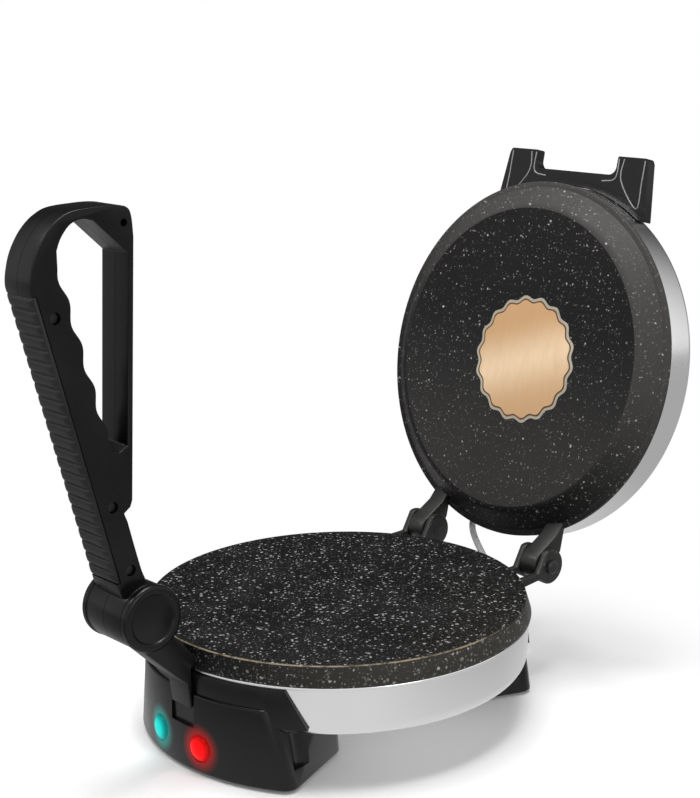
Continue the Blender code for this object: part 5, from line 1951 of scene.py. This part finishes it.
    def build_cap(self, mesher: Mesher, side: Side) -> None:
        """Builds a pivot cap: raised rounded rim and dished middle.

        Args:
            mesher: The mesh builder.
            side: Its side.
        """
        face = self.barrel_half + self.seam
        top = face + self.cap_h
        foot = 0.0008
        profile = [(0.0, face), (self.cap_r - foot, face), (self.cap_r, face + foot)]
        profile += arc((self.cap_r - self.cap_edge, top - self.cap_edge), self.cap_edge, 0, 90, 8)
        profile += arc((self.dish_r, top - self.cap_lip), self.cap_lip, 90, 170, 5)
        dish = ((0.0142, 0.0014), (0.0128, 0.0013), (0.0075, 0.0006), (0.0, 0.0003))
        profile += [(radius, top - down) for radius, down in dish]
        cap = mesher.turned(f"pivot_button_{side.word}", profile, along_x(HANDLE_PIVOT, side), 96)
        mesher.place(cap, PLASTIC, Body.HANDLE, "satin_black_plastic", f"pivot_cap_{side.word}")

    def build_pad(self, mesher: Mesher) -> None:
        """Builds the grip pad and its ribs.

        Args:
            mesher: The mesh builder.
        """
        high, low, way, out = self.grip_frame()
        inset = self.pad_end + self.seam
        start, end = high + way * inset, low - way * inset
        deep, near = out * self.pad_deep, out * self.pad_proud
        strip = [tuple(corner) for corner in (start - deep, end - deep, end - near, start - near)]
        base = mesher.prism("grip_strip", strip, -self.half, self.half, PLACES.base)
        mesher.bevel(base, 0.0005, 2)
        mesher.place(base, GRIP, Body.HANDLE, "grip_rubber", "grip_pad")
        ribs = RibRow(self.rib_count, self.half - 0.0002).build(mesher, start, end, way, out)
        mesher.place(ribs, GRIP, Body.HANDLE, "grip_rubber", "grip_pad")


@dataclass(frozen=True)
class RibRow:
    """Row of equal ribs set out by Geometry Nodes."""

    count: int
    half: float
    width: float = 0.0066
    height: float = 0.0015
    sink: float = 0.0004
    root: float = 0.001
    least: float = 0.35
    steps: int = 12

    def rib(self, mesher: Mesher, way: Vector, out: Vector) -> Piece:
        """One rib across the grip, about its own origin, rounded at its ends.

        Args:
            mesher: The mesh builder.
            way: Direction down the grip.
            out: Direction out of the grip.

        Returns:
            The new object.
        """
        spread = [-1 + 2 * i / self.steps for i in range(self.steps + 1)]
        loops = []
        for t in spread:
            swell = math.sqrt(max(0.0, 1 - abs(t) ** 7))
            section = []
            for u in spread:
                lift = (1 - abs(u) ** 4) * self.height * (self.least + (1 - self.least) * swell)
                section.append(way * (u * self.width / 2) + out * (lift - self.sink))
            section += [way * self.width / 2 - out * self.root, -way * self.width / 2 - out * self.root]
            loops.append([(t * self.half, p.x, p.y) for p in section])
        return mesher.lofted("rib_sample", loops, Matrix.Identity(4))

    def tree(self) -> tuple[bpy.types.NodeTree, dict[str, str]]:
        """Node tree that copies a rib along a line.

        Returns:
            The tree, and the identifier of each of its inputs by name.
        """
        tree = bpy.data.node_groups.new("rib_row", "GeometryNodeTree")
        kinds = {"Rib": "Object", "Count": "Int", "Start": "Vector", "End": "Vector", "Finish": "Material"}
        ask = {}
        for name, kind in kinds.items():
            socket = tree.interface.new_socket(name, in_out="INPUT", socket_type=f"NodeSocket{kind}")
            ask[name] = socket.identifier
        tree.interface.new_socket("Geometry", in_out="OUTPUT", socket_type="NodeSocketGeometry")
        entry, leave = tree.nodes.new("NodeGroupInput"), tree.nodes.new("NodeGroupOutput")
        line, info, spread, real, dress = (
            tree.nodes.new(f"GeometryNode{kind}")
            for kind in ("MeshLine", "ObjectInfo", "InstanceOnPoints", "RealizeInstances", "SetMaterial")
        )
        line.mode = "END_POINTS"
        for source, output, target, given in (
            (entry, "Count", line, "Count"),
            (entry, "Start", line, "Start Location"),
            (entry, "End", line, "Offset"),
            (entry, "Rib", info, "Object"),
            (line, "Mesh", spread, "Points"),
            (info, "Geometry", spread, "Instance"),
            (spread, "Instances", real, "Geometry"),
            (real, "Geometry", dress, "Geometry"),
            (entry, "Finish", dress, "Material"),
            (dress, "Geometry", leave, "Geometry"),
        ):
            tree.links.new(source.outputs[output], target.inputs[given])
        return tree, ask

    def build(self, mesher: Mesher, start: Vector, end: Vector, way: Vector, out: Vector) -> Piece:
        """Sets the ribs out between two places.

        Args:
            mesher: The mesh builder.
            start: Upper end of the pad.
            end: Lower end of the pad.
            way: Direction down the grip.
            out: Direction out of the grip.

        Returns:
            The row as one mesh.
        """
        sample = self.rib(mesher, way, out)
        carrier = bpy.data.objects.new("grip_ribs", bpy.data.meshes.new("grip_ribs"))
        bpy.context.scene.collection.objects.link(carrier)
        modifier = carrier.modifiers.new("ribs", "NODES")
        modifier.node_group, ask = self.tree()
        pitch = (end - start) / self.count
        first, last = start + pitch / 2, end - pitch / 2
        values = {
            "Rib": sample,
            "Count": self.count,
            "Start": (0.0, first.x + PLACES.axis_y, first.y),
            "End": (0.0, last.x + PLACES.axis_y, last.y),
            "Finish": mesher.finishes.get(GRIP),
        }
        for name, value in values.items():
            modifier[ask[name]] = value
        bpy.context.view_layer.update()
        mesher.bake(carrier)
        bpy.data.objects.remove(sample, do_unlink=True)
        return carrier


# Studio


@dataclass(frozen=True)
class Softbox:
    """One area light aimed at a point."""

    name: str
    spot: Point3
    size: float
    watts: float
    aim: Point3 = (0.0, 0.0, 0.10)

    def build(self) -> None:
        """Adds the light to the scene."""
        light = bpy.data.lights.new(self.name, "AREA")
        light.energy = self.watts
        light.size = self.size
        holder = bpy.data.objects.new(self.name, light)
        holder.location = self.spot
        holder.rotation_euler = (Vector(self.aim) - Vector(self.spot)).to_track_quat("-Z", "Y").to_euler()
        bpy.context.scene.collection.objects.link(holder)


SOFTBOXES = (
    Softbox("key", (-0.8, -1.0, 1.5), 0.4, 7.0),
    Softbox("top", (-0.1, 0.0, 1.7), 1.2, 22.0),
    Softbox("crown", (0.25, 0.0, 1.35), 0.22, 3.0, (0.0, -0.15, 0.25)),
    Softbox("side", (1.6, -0.2, 0.7), 0.6, 4.0),
)


@dataclass(frozen=True)
class Studio:
    """White surroundings, pale floor, soft lights and the camera of the photograph."""

    focal_px: float = 1700.0
    width_px: float = 700.0
    sensor: float = 36.0
    camera_right: Point3 = (0.67123, 0.74102, -0.01840)
    camera_up: Point3 = (-0.16880, 0.17699, 0.96963)
    camera_back: Point3 = (0.72177, -0.64774, 0.24389)
    camera_spot: Point3 = (0.77916, -0.68524, 0.46916)
    bright_way: Point3 = (0.74, -0.66, 0.0)
    bright_reach: Point2 = (-0.85, -0.05)
    bright_level: Point2 = (0.04, 0.95)
    high_reach: Point2 = (0.25, 0.8)
    high_level: Point2 = (1.0, 0.75)
    surround: Colour = (0.34, 0.34, 0.34)
    white: Colour = (1.0, 1.0, 1.0)
    floor_white: Colour = (0.96, 0.96, 0.96)
    floor_glow: float = 0.06
    fade_centre: Point3 = (0.04, -0.07, 0.0)
    fade_reach: Point2 = (0.17, 0.38)
    across: Point3 = (0.67, 0.74, 0.0)
    mirror_reach: Point2 = (0.02, 0.34)
    mirror_level: Point2 = (0.80, 0.40)

    def build(self) -> None:
        """Builds the whole studio."""
        self.camera()
        self.world()
        self.floor()
        for light in SOFTBOXES:
            light.build()
        bpy.context.scene.view_settings.view_transform = "Standard"

    def camera(self) -> None:
        """Places the camera."""
        data = bpy.data.cameras.new("camera")
        data.sensor_fit = "HORIZONTAL"
        data.sensor_width = self.sensor
        data.lens = data.sensor_width * self.focal_px / self.width_px
        holder = bpy.data.objects.new("camera", data)
        bpy.context.scene.collection.objects.link(holder)
        turn = Matrix((self.camera_right, self.camera_up, self.camera_back)).transposed().to_4x4()
        holder.matrix_world = PLACES.base @ Matrix.Translation(self.camera_spot) @ turn
        bpy.context.scene.camera = holder

    def world(self) -> None:
        """White to the camera, a shaded surround to gloss and an even grey to diffuse light."""
        world = bpy.data.worlds.new("studio")
        world.use_nodes = True
        bpy.context.scene.world = world
        graph = Graph(world.node_tree)
        rays = graph.node("ShaderNodeLightPath").outputs
        way = graph.node("ShaderNodeTexCoord").outputs["Generated"]
        toward = graph.measure("DOT_PRODUCT", way, self.bright_way)
        _, _, up = graph.axes(way)
        shine = graph.product(
            graph.spread(toward, *self.bright_reach, self.bright_level),
            graph.spread(up, *self.high_reach, self.high_level),
        )
        level = graph.blend(rays["Is Glossy Ray"], self.surround, shine)
        seen = graph.math("MAXIMUM", rays["Is Camera Ray"], rays["Is Transmission Ray"])
        ground = world.node_tree.nodes["Background"]
        graph.fill(ground, Color=graph.blend(seen, level, self.white), Strength=1.0)

    def floor(self) -> None:
        """Pale floor that fades to white away from the part, and looks darker in its gloss."""
        bpy.ops.mesh.primitive_circle_add(vertices=128, radius=30.0, fill_type="NGON")
        floor = bpy.context.active_object
        floor.name = "floor"
        material = bpy.data.materials.new("pale_floor")
        material.use_nodes = True
        graph = Graph(material.node_tree)
        shader = material.node_tree.nodes["Principled BSDF"]
        graph.fill(shader, Base_Color=self.floor_white, Roughness=0.85, Specular_IOR_Level=0.1)
        graph.fill(shader, Emission_Color=self.white, Emission_Strength=self.floor_glow)
        place = graph.node("ShaderNodeTexCoord").outputs["Object"]
        fade = graph.spread(graph.measure("DISTANCE", place, self.fade_centre), *self.fade_reach)
        reach = graph.math("ABSOLUTE", graph.measure("DOT_PRODUCT", place, self.across))
        mirrored = graph.node("ShaderNodeEmission")
        graph.fill(mirrored, Color=graph.spread(reach, *self.mirror_reach, self.mirror_level))
        gloss = graph.node("ShaderNodeLightPath").outputs["Is Glossy Ray"]
        surface = shader.outputs[0]
        for factor, other in ((fade, graph.node("ShaderNodeEmission")), (gloss, mirrored)):
            mix = graph.node("ShaderNodeMixShader")
            for target, value in zip(mix.inputs, (factor, surface, other.outputs[0])):
                graph.feed(target, value)
            surface = mix.outputs[0]
        graph.fill(material.node_tree.nodes["Material Output"], Surface=surface)
        floor.data.materials.append(material)


# Finishes of the CAD nodes that stay, by the start of their names; "pivot_b" is the bush and the bolt.
CAD_FINISHES: dict[str, Finish] = {
    "foot": RUBBER,
    "stand_screw": ZINC,
    "lamp_holder": CERAMIC,
    "cord_gland": RUBBER,
    "hinge_pin": DARK_SCREW,
    "lower_heater": SHEATH,
    "upper_heater": SHEATH,
    "lower_clamp": ZINC,
    "upper_clamp": ZINC,
    "thermostat": BAKELITE,
    "terminal_block": CERAMIC,
    "pivot_b": ZINC,
    "pivot_nut": ZINC,
    "pan_grommet": RUBBER,
    "lid_grommet": RUBBER,
    "bracket_screw": ZINC,
    "handle_screw": DARK_SCREW,
}


def dress_cad(finishes: Finishes) -> None:
    """Gives each CAD node that stays its finish.

    Args:
        finishes: The material library.
    """
    for name, node in frame["nodes"].items():
        for start, finish in CAD_FINISHES.items():
            if name.startswith(start):
                node.data.materials.clear()
                node.data.materials.append(finishes.get(finish))
                LOG.info("%s: CAD node in %s", name, finish.name)


def main() -> None:
    """Builds the scene."""
    logging.basicConfig(level=logging.INFO, format="%(name)s: %(message)s")
    Studio().build()
    finishes = Finishes()
    mesher = Mesher(finishes)
    lid = Lid()
    front = Stand(front=True)
    for assembly in (GriddlePlate(), SteelPan(), front, Stand(front=False)):
        assembly.build(mesher)
    for side in Side:
        Lamp(side).build(mesher, front)
    for assembly in (lid, Bracket(lid), Seal(lid), HeaterLead(lid), Handle()):
        assembly.build(mesher)
    dress_cad(finishes)
    LOG.info("made %d materials", len(finishes.made))


if __name__ == "__main__":
    main()
